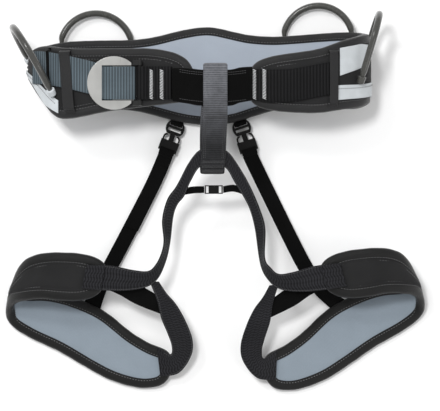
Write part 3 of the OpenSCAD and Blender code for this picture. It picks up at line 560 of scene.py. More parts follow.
def padFrames(rows, step, corner):
    # Even stations of a pad; its ends are rounded off by the corner radius
    rows, step = evenRows(rows, step)
    middle, side, normal, half = strip(rows)
    total = step * (len(rows) - 1)
    s = np.linspace(0, total, len(rows))
    near = np.minimum(s, total - s)
    cut = np.where(near < corner,
                   corner - np.sqrt(np.maximum(corner ** 2 - (corner - near) ** 2, 0)), 0)
    return middle, side, normal, np.maximum(half - cut, 2), step, s


def seamLift(a, width, height, seam):
    # Height of the cover at distance a from the edge: flat under the binding, a sewn groove,
    # then the puffed middle
    rise = np.clip((a - width) / 2.0, 0, 1)
    lift = height * np.sin(rise * math.pi / 2)
    groove = np.exp(-((a - seam) / 1.1) ** 2)
    return lift - groove * height * 0.75


def padPiece(name, frames, look, lo, material):
    # The cover with its foam: a crowned outer face with seams, sides that pull in, and a plain
    # inner face
    middle, side, normal, half, step, s = frames
    count = 34
    rings = []
    for i in range(len(middle)):
        h = half[i]
        x = np.linspace(-1, 1, count)
        w = h * np.sign(x) * (1 - (1 - np.abs(x)) ** 1.25)  # closer together near the edges
        a = h - np.abs(w)
        lift = seamLift(a, fit["bindingWidth"] - 1, look["puff"], look["seam"])
        lift += look["crown"] * np.clip((a - look["seam"]) / 12, 0, 1)
        drift = 2.3 * np.sin(w * 0.11 + s[i] * 0.017)
        crease = np.sin(s[i] * 0.21 + drift) * np.sin(w * 0.19 + s[i] * 0.06)
        ripple = np.sin(s[i] * look["ripple"]) * np.exp(-((a - look["seam"]) / 5.0) ** 2)
        folds = look["crease"] * crease + look["rippleDepth"] * ripple
        lift += folds * np.clip((a - 5) / 5, 0, 1)
        outer = [middle[i] + w[k] * side[i] - lift[k] * normal[i] for k in range(count)]
        inner = [middle[i] + f * h * side[i] + lo * normal[i] for f in (0.99, 0.5, 0, -0.5, -0.99)]
        rings.append(outer + inner)
    return sweep(name, rings, material, step=step)


def liningPiece(name, frames, lo, hi, look, material):
    # The inner face: soft, a little full between the edges
    middle, side, normal, half, step, s = frames
    count = 22
    rings = []
    for i in range(len(middle)):
        h = half[i]
        w = np.linspace(-h, h, count)
        a = h - np.abs(w)
        lift = look["puff"] * np.clip((a - fit["bindingWidth"] + 1) / 6, 0, 1) ** 0.7
        crease = look["crease"] * np.sin(s[i] * 0.13 + w * 0.09)
        lift += crease * np.sin(w * 0.16 - s[i] * 0.05) * np.clip(a / 8, 0, 1)
        inner = [middle[i] + w[k] * side[i] + (hi + lift[k]) * normal[i] for k in range(count)]
        outer = [middle[i] + f * h * side[i] + lo * normal[i] for f in (1, 0, -1)]
        rings.append(inner + outer)
    return sweep(name, rings, material, step=step)


def edgeLoop(frames, step=3.0, soften=6):
    # The closed line round a pad's edge, with the surface normal and the outward way at each point
    middle, side, normal, half, _, _ = frames
    ends = []
    for i, turn in ((-1, 1), (0, -1)):
        ends.append([(middle[i] + turn * f * half[i] * side[i], normal[i])
                     for f in (0.6, 0.2, -0.2, -0.6)])
    line = [(middle[i] + half[i] * side[i], normal[i]) for i in range(len(middle))] + ends[0]
    line += [(middle[i] - half[i] * side[i], normal[i])
             for i in reversed(range(len(middle)))] + ends[1]
    points = np.array([np.concatenate(p) for p in line])
    even, step = evenRows(np.hstack([points[:, :3], points[:, :3], points[:, 3:]]), step,
                          closed=True, smooth=soften)
    p, n = even[:, :3], unit(even[:, 6:])
    way = unit(np.roll(p, -1, 0) - np.roll(p, 1, 0))
    return p, n, unit(np.cross(n, way)), step


def bindingPiece(name, loop, depth, look, material):
    p, n, out, step = loop
    width = fit["bindingWidth"]
    section = np.array([
        (-width, 0.4), (-width, -0.5), (-width + 0.9, -1.25), (-width * 0.62, -1.62),
        (-width * 0.36, -1.66), (-1.2, -1.45),
        (0.1, -0.85), (1.0, 0.2), (1.5, 1.7), (1.6, depth * 0.5), (1.5, depth - 1.7),
        (1.0, depth - 0.2),
        (0.1, depth + 0.75), (-1.2, depth + 1.2), (-width * 0.36, depth + 1.35),
        (-width * 0.62, depth + 1.3),
        (-width + 0.9, depth + 1.0), (-width, depth + 0.3), (-width, depth - 0.5)])
    rings = []
    for i in range(len(p)):
        swell = 1 + look["pucker"] * math.sin(i * step * look["puckerEvery"])
        rings.append([p[i] + d * n[i]
                      + (w + look["roll"] * min(max((w + 1.2) / 2.8, 0), 1))
                      * (swell if w > -width + 1 else 1) * out[i] for w, d in section])
    return sweep(name, rings, material, closed=True, step=step)


def seamRun(loop, inset, level, start=0, stop=None):
    # A stitch line inside the edge at a given inset and level
    p, n, out, _ = loop
    stop = len(p) if stop is None else stop
    index = [k % len(p) for k in range(start, stop)]
    return [p[k] - inset * out[k] + level * n[k]
            for k in index], [n[k] if level > 2 else -n[k] for k in index]


beltLook = {"puff": 1.6, "seam": 10.5, "crown": 0.45, "crease": 0.16, "ripple": 0.9,
            "rippleDepth": 0.12, "corner": 9.0}
beltPairs = [(lambda r: [r[0], r[2], r[1], r[0], r[3], r[1]])(along(beltSized, k / 8))
             for k in range(beltLast * 8 + 1)]
belt = padFrames(beltPairs, 3.6, beltLook["corner"])
settle(padPiece("belt_pad", belt, beltLook, foamIn + fit["foam"], looks["cover"]),
       ["waist_cover", "waist_foam", "waist_core_webbing"])
settle(liningPiece("belt_lining", belt, liningIn, liningIn + fit["lining"],
                   {"puff": 1.1, "crease": 0.22}, looks["lining"]),
       ["waist_lining", "lumbar_patch"])
beltLoop = edgeLoop(belt)
settle(bindingPiece("belt_binding", beltLoop, beltIn,
                    {"pucker": 0.03, "puckerEvery": 0.37, "roll": 0.6}, looks["binding"]),
       ["waist_binding"])
sew("belt_stitches", [seamRun(beltLoop, 6.9, -1.55), seamRun(beltLoop, 10.5, -0.55),
                      seamRun(beltLoop, 5.6, beltIn + 1.45)],
    runStitch, "greyThread")
print("belt padding made")


# ---- Straps ----
def sectionOf(half, thick, across, round_=4):
    # Flat webbing section with rounded selvages: [across, up] and each point's share of a rib
    r = thick / 2
    points, rib = [], []
    for x in np.linspace(-1, 1, across):
        points.append((x * (half - r), r))
        rib.append(1 - abs(x) ** 10)
    for a in np.linspace(90, -90, round_ + 2)[1:-1]:
        points.append((half - r + r * math.cos(math.radians(a)), r * math.sin(math.radians(a))))
        rib.append(0.15)
    for x in np.linspace(1, -1, across):
        points.append((x * (half - r), -r))
        rib.append(-(1 - abs(x) ** 10))
    for a in np.linspace(270, 90, round_ + 2)[1:-1]:
        points.append((-half + r + r * math.cos(math.radians(a)), r * math.sin(math.radians(a))))
        rib.append(0.15)
    return np.array(points), np.array(rib)


ribUv = 3.6  # every rib takes this much of the UV, so that the painted highlight and shade of the weave follow the ribs


def strapPiece(name, rows, thick, look, material, closed=False, spline=True):
    # Webbing along [edge a, edge b] rows, woven with cross ribs of the given pitch
    rows = np.array(rows, float)
    if spline:
        rows = fineRound(rows, 8) if closed else fine(rows, 8)
    step = look["pitch"] / 4
    rows, step = evenRows(rows, step, closed=closed, smooth=look.get("smooth", 3))
    middle, side, normal, half = strip(rows, closed)
    rings = []
    profile = (0.0, 0.72, 1.0, 0.72)
    for i in range(len(rows)):
        section, rib = sectionOf(half[i], thick, look.get("across", 9))
        depth = look["depth"] * (profile[i % 4] - 0.6)
        sway = look.get("sway", 0) * math.sin(i * step * 0.12)
        rings.append([middle[i] + (w + sway) * side[i]
                      + (d + depth * np.sign(k) * abs(k)) * normal[i]
                      for (w, d), k in zip(section, rib)])
    return sweep(name, rings, material, closed=closed, step=ribUv / 4)


def strapRuns(rows, thick, insets, closed=False, spline=True, keep=(0.0, 1.0), face=1):
    # Stitch lines along a strap, each at its inset from an edge: positive from the first edge,
    # negative from the second
    rows = np.array(rows, float)
    if spline:
        rows = fineRound(rows, 8) if closed else fine(rows, 8)
    rows, step = evenRows(rows, 2.0, closed=closed, smooth=3)
    middle, side, normal, half = strip(rows, closed)
    first, last = int(len(rows) * keep[0]), max(int(len(rows) * keep[1]), 2)
    runs = []
    for inset in insets:
        points = [middle[k] + math.copysign(half[k] - abs(inset), inset) * side[k]
                  + face * (thick / 2 + 0.16) * normal[k]
                  for k in range(first, last)]
        runs.append((points, [face * normal[k] for k in range(first, last)]))
    return runs


def levelRow(x, hi, lo, z):
    return [x, hi, z, x, lo, z]


def bandRun(x, yLow, yHigh, z, lean=0):
    return [np.array([x + lean * f, yLow + (yHigh - yLow) * f, z])
            for f in np.linspace(0, 1, 12)], [(0, 0, 1)] * 12


frontZ = beltLift + frontHeight + edgeOut
sleeveLo = frontZ + gap
sleeveHi = sleeveLo + 7.4
barX, buckleY = -86.5, 131.0
turnIn = 1.8 + gap
barZ = frontZ + gap + fit["web"] + turnIn + 1.2

ribbed = {"pitch": 3.6, "depth": 0.5, "across": 9}
heavy = {"pitch": 2.5, "depth": 0.6, "across": 9}
flatCloth = {"pitch": 4, "depth": 0.05, "across": 9}


def buckleWebbing():
    r = turnIn + fit["web"] / 2
    low = frontZ + gap + fit["web"] / 2
    hi = 150.3
    lo = hi - fit["waistWeb"]
    turn = [(barX + r * math.cos(math.radians(a)), barZ + r * math.sin(math.radians(a)))
            for a in np.arange(-90, -270.1, -22.5)]
    path = [(-50, low), (-62, low), (-74, low)] + turn
    path += [(barX + 5, barZ + r - 0.3), (-74, low + fit["web"] + gap + 1),
             (-66, low + fit["web"] + gap),
             (-50, low + fit["web"] + gap)]
    rows = [levelRow(x, hi, lo, z) for x, z in path]
    piece = strapPiece("buckle_band", rows, fit["web"], ribbed, looks["web"], spline=False)
    return settle(piece, ["buckle_webbing"])


def beltBand(name, t0, t1, yHi, yLo, lo, hi, look, material):
    # A flat piece that follows the belt between two stations
    n = max(int((t1 - t0) * 10), 6)
    rows = []
    for k in range(n + 1):
        f = k / n
        t = t0 + (t1 - t0) * f
        top = np.interp(f * (len(yHi) - 1), range(len(yHi)), yHi)
        bottom = np.interp(f * (len(yLo) - 1), range(len(yLo)), yLo)
        rows.append(np.concatenate([onBelt(t, top, (lo + hi) / 2),
                                    onBelt(t, bottom, (lo + hi) / 2)]))
    return strapPiece(name, rows, hi - lo, look, material, spline=False)


def tieInSleeve():
    rows = np.array([[-49, 148.5, 110], [-32, 148.5, 107.5], [-16, 146.5, 105], [16, 146.5, 105],
                     [28, 149, 108.5],
                     [42, 150, 111]], float)
    rows = fine(rows, 8)
    middle = (sleeveLo + sleeveHi) / 2
    rings = []
    for k, (x, hi, lo) in enumerate(rows):
        pinch = 0.35 * math.exp(-(x / 17) ** 2)
        r = (sleeveHi - sleeveLo) / 2 - pinch
        ring = []
        for a in np.linspace(-90, 90, 9):
            ring.append((hi - r + r * math.cos(math.radians(a)), r * math.sin(math.radians(a))))
        for f in np.linspace(0, 1, 14)[1:-1]:
            fold = 0.22 * math.sin(f * 9.4 + 0.5 * math.sin(x * 0.12))
            fold += 0.18 * math.sin(x * 0.5 + f * 4)
            ring.append((hi - r + (lo - hi + 2 * r) * f, r + fold * math.sin(f * math.pi)))
        for a in np.linspace(90, 270, 9):
            ring.append((lo + r + r * math.cos(math.radians(a)), r * math.sin(math.radians(a))))
        for f in np.linspace(0, 1, 6)[1:-1]:
            ring.append((lo + r + (hi - lo - 2 * r) * f, -r))
        rings.append([np.array([x, y, middle + z]) for y, z in ring])
    # The open ends: each turns in and runs back inside
    def shrink(ring, x, wall):
        c = np.mean(ring, axis=0)
        out = []
        for q in ring:
            d = q - c
            out.append(np.array([x, c[1] + d[1] - np.sign(d[1]) * min(wall, abs(d[1])),
                                 c[2] + d[2] - np.sign(d[2]) * min(wall, abs(d[2]))]))
        return out
    first, last = rings[0], rings[-1]
    rings = [shrink(first, -41, 1.2),
             shrink(first, -48.7, 1.2)] + rings + [shrink(last, 41.7, 1.2), shrink(last, 34, 1.2)]
    piece = sweep("centre_sleeve", rings, looks["sleeve"], step=1.8)
    return settle(piece, ["tie_in_sleeve", "tie_in_webbing"])


slider = {"thick": 2.2, "end": -94.2}


def waistStrap():
    t = fit["strap"]
    low = -edgeOut - fit["cover"] - 2 * gap - t / 2
    zLow = frontZ + gap + t / 2
    r = slider["thick"] / 2 + gap + 0.1 + t / 2
    zMid = zLow + r
    upper = zLow + t + gap
    hipY = lambda at: 139 + 8 * (at - 5.7) - 1.3 * (at - 5.7) ** 2
    hip = [(lambda c: [c[0], hipY(at), c[2]])(onBelt(at, 0, low))
           for at in np.arange(8.7, 6.1, -0.5)]
    back = [(lambda c: [c[0], hipY(at), c[2]])(onBelt(at, 0, low - t - gap))
            for at in np.arange(6.2, 8.8, 0.5)]
    front = [[-143, 137.5, zLow], [-128, 133, zLow], [-112, 131, zLow],
             [slider["end"] - 4, 131, zLow]]
    turn = [[slider["end"] + r * math.cos(math.radians(a)), 131,
             zMid + r * math.sin(math.radians(a))]
            for a in range(-90, 91, 30)]
    over = [[-112, 131, zMid + r], [-120.5, 131, zMid + r], [-125, 131, zMid + r - 1.2],
            [-129.5, 131.5, upper + 0.1],
            [-136, 135, upper], [-143, 137.5, upper]]
    half = fit["waistWeb"] / 2
    rows = [[p[0], p[1] + half, p[2], p[0], p[1] - half, p[2]]
            for p in hip + front + turn + over + back]
    piece = strapPiece("waist_band", rows, t,
                       {"pitch": 3.3, "depth": 0.6, "across": 9, "smooth": 2}, looks["strap"],
                       spline=False)
    return settle(piece, ["waist_strap"])


def keeper(name, node, t, slant, width, yHi, yLo, rise, material):
    path = [[yHi, 0], [yHi - 2, 0], [yHi - 4, rise], [(yHi + yLo) / 2, rise + 0.3],
            [yLo + 5, rise], [yLo + 2.5, 0], [yLo, 0]]
    run = beltFrame(t + 0.1)[0] - beltFrame(t)[0]
    side = unit([run[0], 0, run[2]]) * width / 2
    rows = []
    for y, up in path:
        c = onBelt(t + slant * (y - yLo) / (yHi - yLo), y, onTop - fit["cover"] / 2 - up)
        rows.append(np.concatenate([c - side, c + side]))
    piece = strapPiece(name, rows, fit["cover"] + 0.2,
                       {"pitch": 2.0, "depth": 0.12, "across": 7, "smooth": 4}, material,
                       spline=False)
    return settle(piece, [node])


panelStep = fit["cover"] + gap
strapStack = panelStep + 2 * fit["strap"] + 2 * gap
buckleWebbing()
tieInSleeve()
waistStrap()
sew("sleeve_stitches", [([np.array([x, y + 0.0022 * x * x, sleeveHi + 0.05])
                          for x in np.linspace(-40, 34, 30)],
                         [(0, 0, 1)] * 30) for y in (142.5, 140.0, 109.3)],
    dict(runStitch, Spacing=2.6), "blackThread")
settle(beltBand("right_front_band", 29.35, 33.6, [157, 152, 147, 147, 148],
                [119, 114, 109, 109, 111], onTop - 2 * fit["web"],
                onTop, dict(ribbed, pitch=3.8, depth=0.6), looks["web"]),
       ["right_front_webbing"])
settle(beltBand("left_panel", 6.9, 9.9, [112, 126, 141, 150], [97, 108, 131, 146],
                onTop - fit["cover"], onTop,
                flatCloth, looks["silver"]), ["side_panel_left"])
settle(beltBand("right_panel", 25.9, 29.3, [137, 134, 131, 129], [118, 118, 115, 112],
                onTop - fit["cover"], onTop,
                flatCloth, looks["silver"]), ["side_panel_right"])
settle(beltBand("right_patch", 27, 29.15, [178, 178, 172], [160, 150, 140],
                onTop - fit["cover"], onTop,
                flatCloth, looks["silver"]), ["side_patch_right"])
panelSeams = []
for stations, heights in (((26.2, 29.2), (133, 130, 127, 125)), ((7.1, 9.7), (109, 123, 137, 146))):
    line = [(t, np.interp(t, np.linspace(*stations, 4), heights))
            for t in np.linspace(*stations, 24)]
    panelSeams.append(([onBelt(t, y, onTop - fit["cover"] - 0.3) for t, y in line],
                       [-beltFrame(t)[1] for t, _ in line]))
sew("panel_stitches", panelSeams, dict(runStitch, Spacing=2.6), "greyThread")
keeper("left_keeper", "keeper_left", 6.3, 0.24, 13, 171, 97, strapStack, looks["binding"])
keeper("left_keeper_side", "keeper_left_side", 7.3, 0.15, 4, 173, 124, strapStack,
       looks["sleeve"])
keeper("right_keeper", "keeper_right", 29.45, 0, 10, 171, 104, 2 * fit["web"] + gap,
       looks["binding"])
print("belt webbing made")


# ---- Belay loop ----
def belayLoop():
    t = fit["belay"]
    half, top = t / 2, 154.0
    front, rear, low = sleeveHi + gap + half, sleeveLo - gap - half, top - 127.0
    path = [[0, top - half - 0.8, front - 2.6], [0, top - half - 3.4, front],
            [0, top - 20, front], [0, top - 51, front],
            [0, low + 62, front - 4], [-1, low + 45, front - 8], [-2, low + 22, front - 11],
            [-3, low + 9, front - 13],
            [-3.5, low + half, front - 17.5], [-4, low + 8, rear - 7.5], [-4, low + 22, rear - 8],
            [-4, low + 45, rear - 5.5], [-3, low + 70, rear - 2.5], [-1.5, top - 42, rear],
            [0, top - 20, rear],
            [0, top - half - 3.4, rear], [0, top - half - 0.8, rear + 2.6],
            [0, top - half, (front + rear) / 2]]
    w = fit["belayWeb"] / 2
    rows = [[p[0] - w, p[1], p[2], p[0] + w, p[1], p[2]] for p in path]
    piece = strapPiece("belay_band", rows, t, heavy, looks["belay"], closed=True)
    settle(piece, ["belay_loop"])
    # Sewn together down the lower half, with zigzag bands above and below
    shown = sorted(path[1:8], key=lambda p: p[1])
    px, py, pz = zip(*shown)
    at = lambda x, y: np.array([x + np.interp(y, py, px), y, np.interp(y, py, pz) + half + 0.35])
    down = [([at(x, y) for y in np.linspace(86, 46, 18)], [(0, 0, 1)] * 18)
            for x in (-11.4, -9.6, 9.6, 11.4)]
    sew("belay_stitches", down,
        {"Spacing": 2.1, "Thread length": 1.7, "Thread width": 0.6, "Turn": 0.0, "Seed": 8},
        "blackThread")
    bands = [([at(x, y) for x in np.linspace(-11.5, 11.5, 8)], [(0, 0, 1)] * 8)
             for y in (98, 92.5, 41, 35.5, 30.5)]
    sew("belay_tacks", bands,
        {"Spacing": 1.25, "Thread length": 5.0, "Thread width": 0.6, "Turn": math.radians(76),
         "Seed": 9}, "blackThread")


belayLoop()

# ---- Leg loops ----
legRowList = [
    [-127, -77, 60, -133, -109, 58], [-153, -68, 62, -154, -118, 60],
    [-181, -66, 63, -182, -118, 61],
    [-202, -67, 61, -203, -116, 58], [-221, -73, 54, -227, -119, 48],
    [-234, -87, 42, -244, -124, 32],
    [-240, -105, 25, -250, -135, 14], [-228, -112, 8, -246, -149, 2],
    [-199, -114, 1, -223, -165, 0],
    [-166, -123, 0, -187, -182, 0], [-134, -138, 0, -158, -199, 0], [-104, -162, 0, -124, -217, 0],
    [-78, -177, 3, -87, -226, 0], [-53, -184, 10, -58, -221, 4]]
frontWebRows = [
    [-149, -78, 65.2, -155, -106, 63.2], [-121, -79, 66.5, -127, -108, 64.5],
    [-95, -84, 68, -103, -108, 64],
    [-78, -85, 68, -80, -104, 61], [-69, -77, 69, -67, -94, 59], [-63, -65, 70, -58, -74, 58]]
innerWebRows = [
    [-70, -177, 19, -66, -213, 14], [-54, -186, 24.5, -44, -209, 19],
    [-52, -175, 32, -29, -188, 26],
    [-57, -159, 41, -27, -168, 35], [-64, -141, 48, -35, -145, 43], [-68, -122, 52, -46, -125, 48],
    [-73, -108, 56.5, -57, -112, 52.5], [-77, -98, 60.3, -66, -98, 57]]
elasticRows = [
    [-126, -88, 56, -129.5, -106, 54], [-108, -93, 54, -112, -114, 52],
    [-87, -103, 52, -93, -125, 49],
    [-65, -116, 50.5, -63, -137, 46.5]]
raised = np.array([0, 0, edgeOut, 0, 0, edgeOut])
legPivot, legTurn = (120.0, -140.0), math.radians(4.5)


def legRows(rows):
    return np.array(rows, float) + raised


def toRight(points):
    # The right loop is the left one mirrored and turned a little
    p = np.array(points, float).reshape(-1, 3)
    x, y = -p[:, 0] - legPivot[0], p[:, 1] - legPivot[1]
    c, s = math.cos(legTurn), math.sin(legTurn)
    return np.stack([legPivot[0] + x * c - y * s, legPivot[1] + x * s + y * c, p[:, 2]],
                    axis=1).reshape(np.shape(points))


def rightRows(rows):
    # The left loop's rows on the right loop, in the same order
    rows = np.array(rows, float)
    return np.hstack([toRight(rows[:, :3]), toRight(rows[:, 3:])])


legLook = {"puff": 1.9, "seam": 10.5, "crown": 0.9, "crease": 0.34, "ripple": 0.8,
           "rippleDepth": 0.16, "corner": 9.0}


def rested(rows):
    rows = fine(rows, 8)
    rows[:, 2] = np.maximum(rows[:, 2], edgeOut)
    rows[:, 5] = np.maximum(rows[:, 5], edgeOut)
    way = unit(rows[:, :3] - rows[:, 3:6])
    rows[:, :3] -= edgeOut * way
    rows[:, 3:6] += edgeOut * way
    return rows


for hand, turned in (("left", False), ("right", True)):
    rows = rested(legRows(legRowList))
    if turned:
        rows = rightRows(rows)[::-1]  # reversed, so that the normals still point inwards
    frames = padFrames(rows, 3.2, legLook["corner"])
    look = dict(legLook, crease=0.28 if hand == "left" else 0.24)
    pad = settle(padPiece("leg_pad_" + hand, frames, look, legFoamIn + fit["foam"],
                          looks["legCover"]),
                 ["leg_cover_" + hand, "leg_foam_" + hand])
    lining = settle(liningPiece("leg_lining_" + hand, frames, legLiningIn,
                                legLiningIn + fit["lining"],
                                {"puff": 1.3, "crease": 0.35}, looks["legLining"]),
                    ["leg_lining_" + hand])
    lining.name = "leg_inside_" + hand
    loop = edgeLoop(frames)
    settle(bindingPiece("leg_edge_" + hand, loop, legIn,
                        {"pucker": 0.03, "puckerEvery": 0.31, "roll": 2.2}, looks["legBinding"]),
           ["leg_binding_" + hand])
    sew("leg_stitches_" + hand,
        [seamRun(loop, 7.0, -1.55), seamRun(loop, 10.5, -0.6), seamRun(loop, 5.6, legIn + 1.45)],
        runStitch, "greyThread")
    pick = rightRows if turned else (lambda r: np.array(r, float))
    settle(strapPiece("leg_inner_web_" + hand, pick(legRows(innerWebRows)), fit["web"],
                      {"pitch": 2.2, "depth": 0.3, "across": 9, "smooth": 24}, looks["bridge"]),
           ["leg_inner_webbing_" + hand])
    sew("inner_web_stitches_" + hand,
        strapRuns(pick(legRows(innerWebRows)), fit["web"], (1.8, -1.8), keep=(0.1, 0.95)),
        dict(runStitch, Spacing=2.4), "blackThread")
    settle(strapPiece("leg_elastic_web_" + hand, pick(legRows(elasticRows)), 1.2,
                      {"pitch": 1.6, "depth": 0.2, "across": 9},
                      looks["riser"]), ["leg_elastic_" + hand])
print("leg loops made")

# ---- Leg bridge ----
bridgeHi = sleeveHi - 12.8
bridgeRows = [[-60, -50, 72, -53, -52, 60], [-62, -26, 72, -49, -22, 65],
              [-56, -2, 75, -44, -8, 71],
              [-45, 14, 79, -36, 2, 75], [-31, 40, 84, -29, 18, 82],
              [-18, 55, bridgeHi, -18, 35, bridgeHi - 1],
              [-2, 58, bridgeHi, -2, 38, bridgeHi - 1], [13, 54, bridgeHi, 12, 34, bridgeHi - 1],
              [26, 38, 84, 22, 18, 82], [40, 14, 79, 33, 0, 76], [52, -14, 74, 40, -14, 69],
              [58, -36, 72, 46, -36, 63]]
leftWeb = legRows(frontWebRows)
rightWeb = rightRows(leftWeb)[::-1]
bridgeLine = np.vstack([leftWeb, bridgeRows, rightWeb])
settle(strapPiece("bridge_band", bridgeLine, fit["web"],
                  {"pitch": 2.2, "depth": 0.2, "across": 11}, looks["bridge"]),
       ["leg_bridge"])
sew("bridge_stitches", strapRuns(bridgeLine, fit["web"], (1.6, -1.6)),
    dict(runStitch, Spacing=2.4), "blackThread")

# ---- Crotch strap ----
crotchZ = 72.0
crotchLook = {"pitch": 1.6, "depth": 0.2, "across": 7}
settle(strapPiece("crotch_strap_l", [[-41, 10, crotchZ + 3.4, -38, 3, crotchZ + 1.6],
                                     [-27, 13, crotchZ + 1, -25, 5, crotchZ + 0.5],
                                     [-13, 13.5, crotchZ, -13, 5.5, crotchZ]], 1.4,
                  crotchLook, looks["riser"]), ["crotch_strap_left"])
settle(strapPiece("crotch_strap_r",
                  [[9, 13.5, crotchZ, 9, 5.5, crotchZ], [22, 15, crotchZ + 1, 21, 7, crotchZ + 1],
                   [38, 10, crotchZ + 3.8, 34, 3, crotchZ + 2.2]], 1.4,
                  crotchLook, looks["riser"]), ["crotch_strap_right"])

# ---- Riser straps ----
clips = {"left": {"at": (-53, 70.7), "turn": -20}, "right": {"at": (35.5, 71), "turn": 18}}
clipZ = 9.0


def clipPoint(side, x, y):
    a = math.radians(clips[side]["turn"])
    cx, cy = clips[side]["at"]
    return cx + x * math.cos(a) - y * math.sin(a), cy + x * math.sin(a) + y * math.cos(a)


def midRow(m, width):
    a = math.radians(m[3])
    c, s = math.cos(a) * width / 2, math.sin(a) * width / 2
    return [m[0] + c, m[1] + s, m[2], m[0] - c, m[1] - s, m[2]]


def clipMid(side, y, up):
    x, yy = clipPoint(side, 0, y)
    return [x, yy, clipZ + up, clips[side]["turn"]]


riserLook = {"pitch": 1.6, "depth": 0.16, "across": 9}
edgeRow = legRows([[-139, -134.6, 3.8, -158, -125.9, 3.8]])
risers = {"left": ((-45, 97, 16.85),
                   [[-76, 14.5, 8, -18], [-104, -40, 8, -20], [-124, -78, 8, -22],
                    [-137, -103, 8, -24]]),
          "right": ((30, 98, 19.4),
                    [[66, 0, 8, 16], [94, -57, 8, 20], [109, -85, 8, 22], [126, -110, 8, 24]])}
for side, ((x, y, t), middle) in risers.items():
    beltZ = onBelt(t, 0, onTop - fit["web"] / 2 - 0.8)[2]
    loop = [[21, 3.7], [18.6, 3.7], [17.2, 2.4], [17.2, -2.2], [18.6, -3.7], [21, -4.4]]
    mids = [clipMid(side, p, q) for p, q in loop] + [[x, y - 3, beltZ, 0], [x, y + 8, beltZ, 0]]
    settle(strapPiece("riser_top_" + side, [midRow(m, fit["riser"] - 3) for m in mids], fit["web"],
                      dict(riserLook, smooth=2), looks["riser"], spline=False),
           ["riser_tab_" + side])
    last = edgeRow if side == "left" else rightRows(edgeRow)[:, [3, 4, 5, 0, 1, 2]]
    slack = [[-12, 5.1], [-16.5, 5.1], [-20.5, 4.2], [-26, 1]]
    mids = [clipMid(side, p, q) for p, q in slack] + middle
    rows = np.vstack([[midRow(m, fit["riser"]) for m in mids], last])
    settle(strapPiece("riser_web_" + side, rows, fit["web"], riserLook, looks["riser"]),
           ["riser_strap_" + side])
for hand in ("left", "right"):
    rows = legRows([[-150, -78.6, 67.3, -155.6, -105.4, 65.3],
                    [-139, -79.3, 67.8, -144.5, -106.2, 65.7],
                    [-128, -79.6, 68.3, -133, -107.4, 66.2]])
    rows = rows if hand == "left" else rightRows(rows)[::-1]
    settle(strapPiece("leg_web_fold_" + hand, rows, 1.2,
                      {"pitch": 2.2, "depth": 0.2, "across": 11}, looks["bridge"]))
tail = [midRow(m, fit["riser"] - 1)
        for m in ([-64.5, 38, 10.2, -18], [-76, 13, 9.9, -18], [-88, -11, 9.9, -19],
                  [-101, -37, 9.9, -20])]
settle(strapPiece("riser_tail", tail, 1.3, riserLook, looks["riser"]))
print("leg webbing made")


# ---- Gear loops ----
def tube(name, points, radii, material, sides):
    points = np.array(points, float)
    way = unit(np.gradient(points, axis=0))
    across = unit(np.cross(way[0], [0.3, 0.1, 1.0]))
    rings = []
    for i in range(len(points)):
        across = unit(across - np.dot(across, way[i]) * way[i])
        other = np.cross(way[i], across)
        ring = [points[i] + radii[i] * (math.cos(a) * across + math.sin(a) * other)
                for a in np.linspace(0, 2 * math.pi, sides, endpoint=False)]
        rings.append(ring)
    step = np.linalg.norm(np.diff(points, axis=0), axis=1).mean()
    return sweep(name, rings, material, step=step)


def onEnds(ends, way):
    # A frame on the line between two ends: x along it, y along way
    a, b = np.array(ends[0]), np.array(ends[1])
    x = unit(b - a)
    y = np.array(way, float) - np.dot(way, x) * x
    y = unit(y)
    z = np.cross(x, y)
    centre = (a + b) / 2
    return lambda p: centre + p[0] * x + p[1] * y + p[2] * z, np.linalg.norm(b - a)


sleeveR = fit["pin"] / 2 + 1.08
rearOff = -edgeOut - gap - sleeveR - 1.6
frontOff = -edgeOut - fit["tube"] / 2 - 1.2
loopEnds = {
    "rear_left": ([onBelt(14.96, 175, rearOff + 0.6), onBelt(12.8, 175, rearOff + 0.6)], (0, 1, 0)),
    "rear_right": ([onBelt(24.4, 184, rearOff), onBelt(21.5, 184, rearOff)], (0, 1, 0)),
    "front_left": ([onBelt(7.1, 119, frontOff), onBelt(11, 160.5, frontOff)], (-0.5, 0.85, 0)),
    "front_right": ([onBelt(28.25, 133, frontOff), onBelt(24.9, 148, frontOff)], (0.27, 0.95, 0))}
rearReach, frontTube, neck, bend, pinLength = 46.0, 190.0, 16.0, 4.0, 10.0


def loopLine(c, reach, foot):
    # A loop's centre line between its two feet: straight legs and an arc
    rise = reach - foot
    r = min((rise ** 2 + c * c / 4) / (2 * rise), c)
    if rise > c / 2:
        q, start = c / 2, 90.0
    else:
        q, start = r, math.degrees(math.asin(min(c / 2 / r, 1)))
    mid = reach - q
    arc = [(q * math.sin(math.radians(a)), mid + q * math.cos(math.radians(a)), 0)
           for a in np.linspace(start, -start, 49)]
    if rise > c / 2:
        legs = [(c / 2, y, 0) for y in np.linspace(foot, mid, 10)[:-1]]
        arc = legs + arc + [(-x, y, 0) for x, y, _ in reversed(legs)]
    return arc


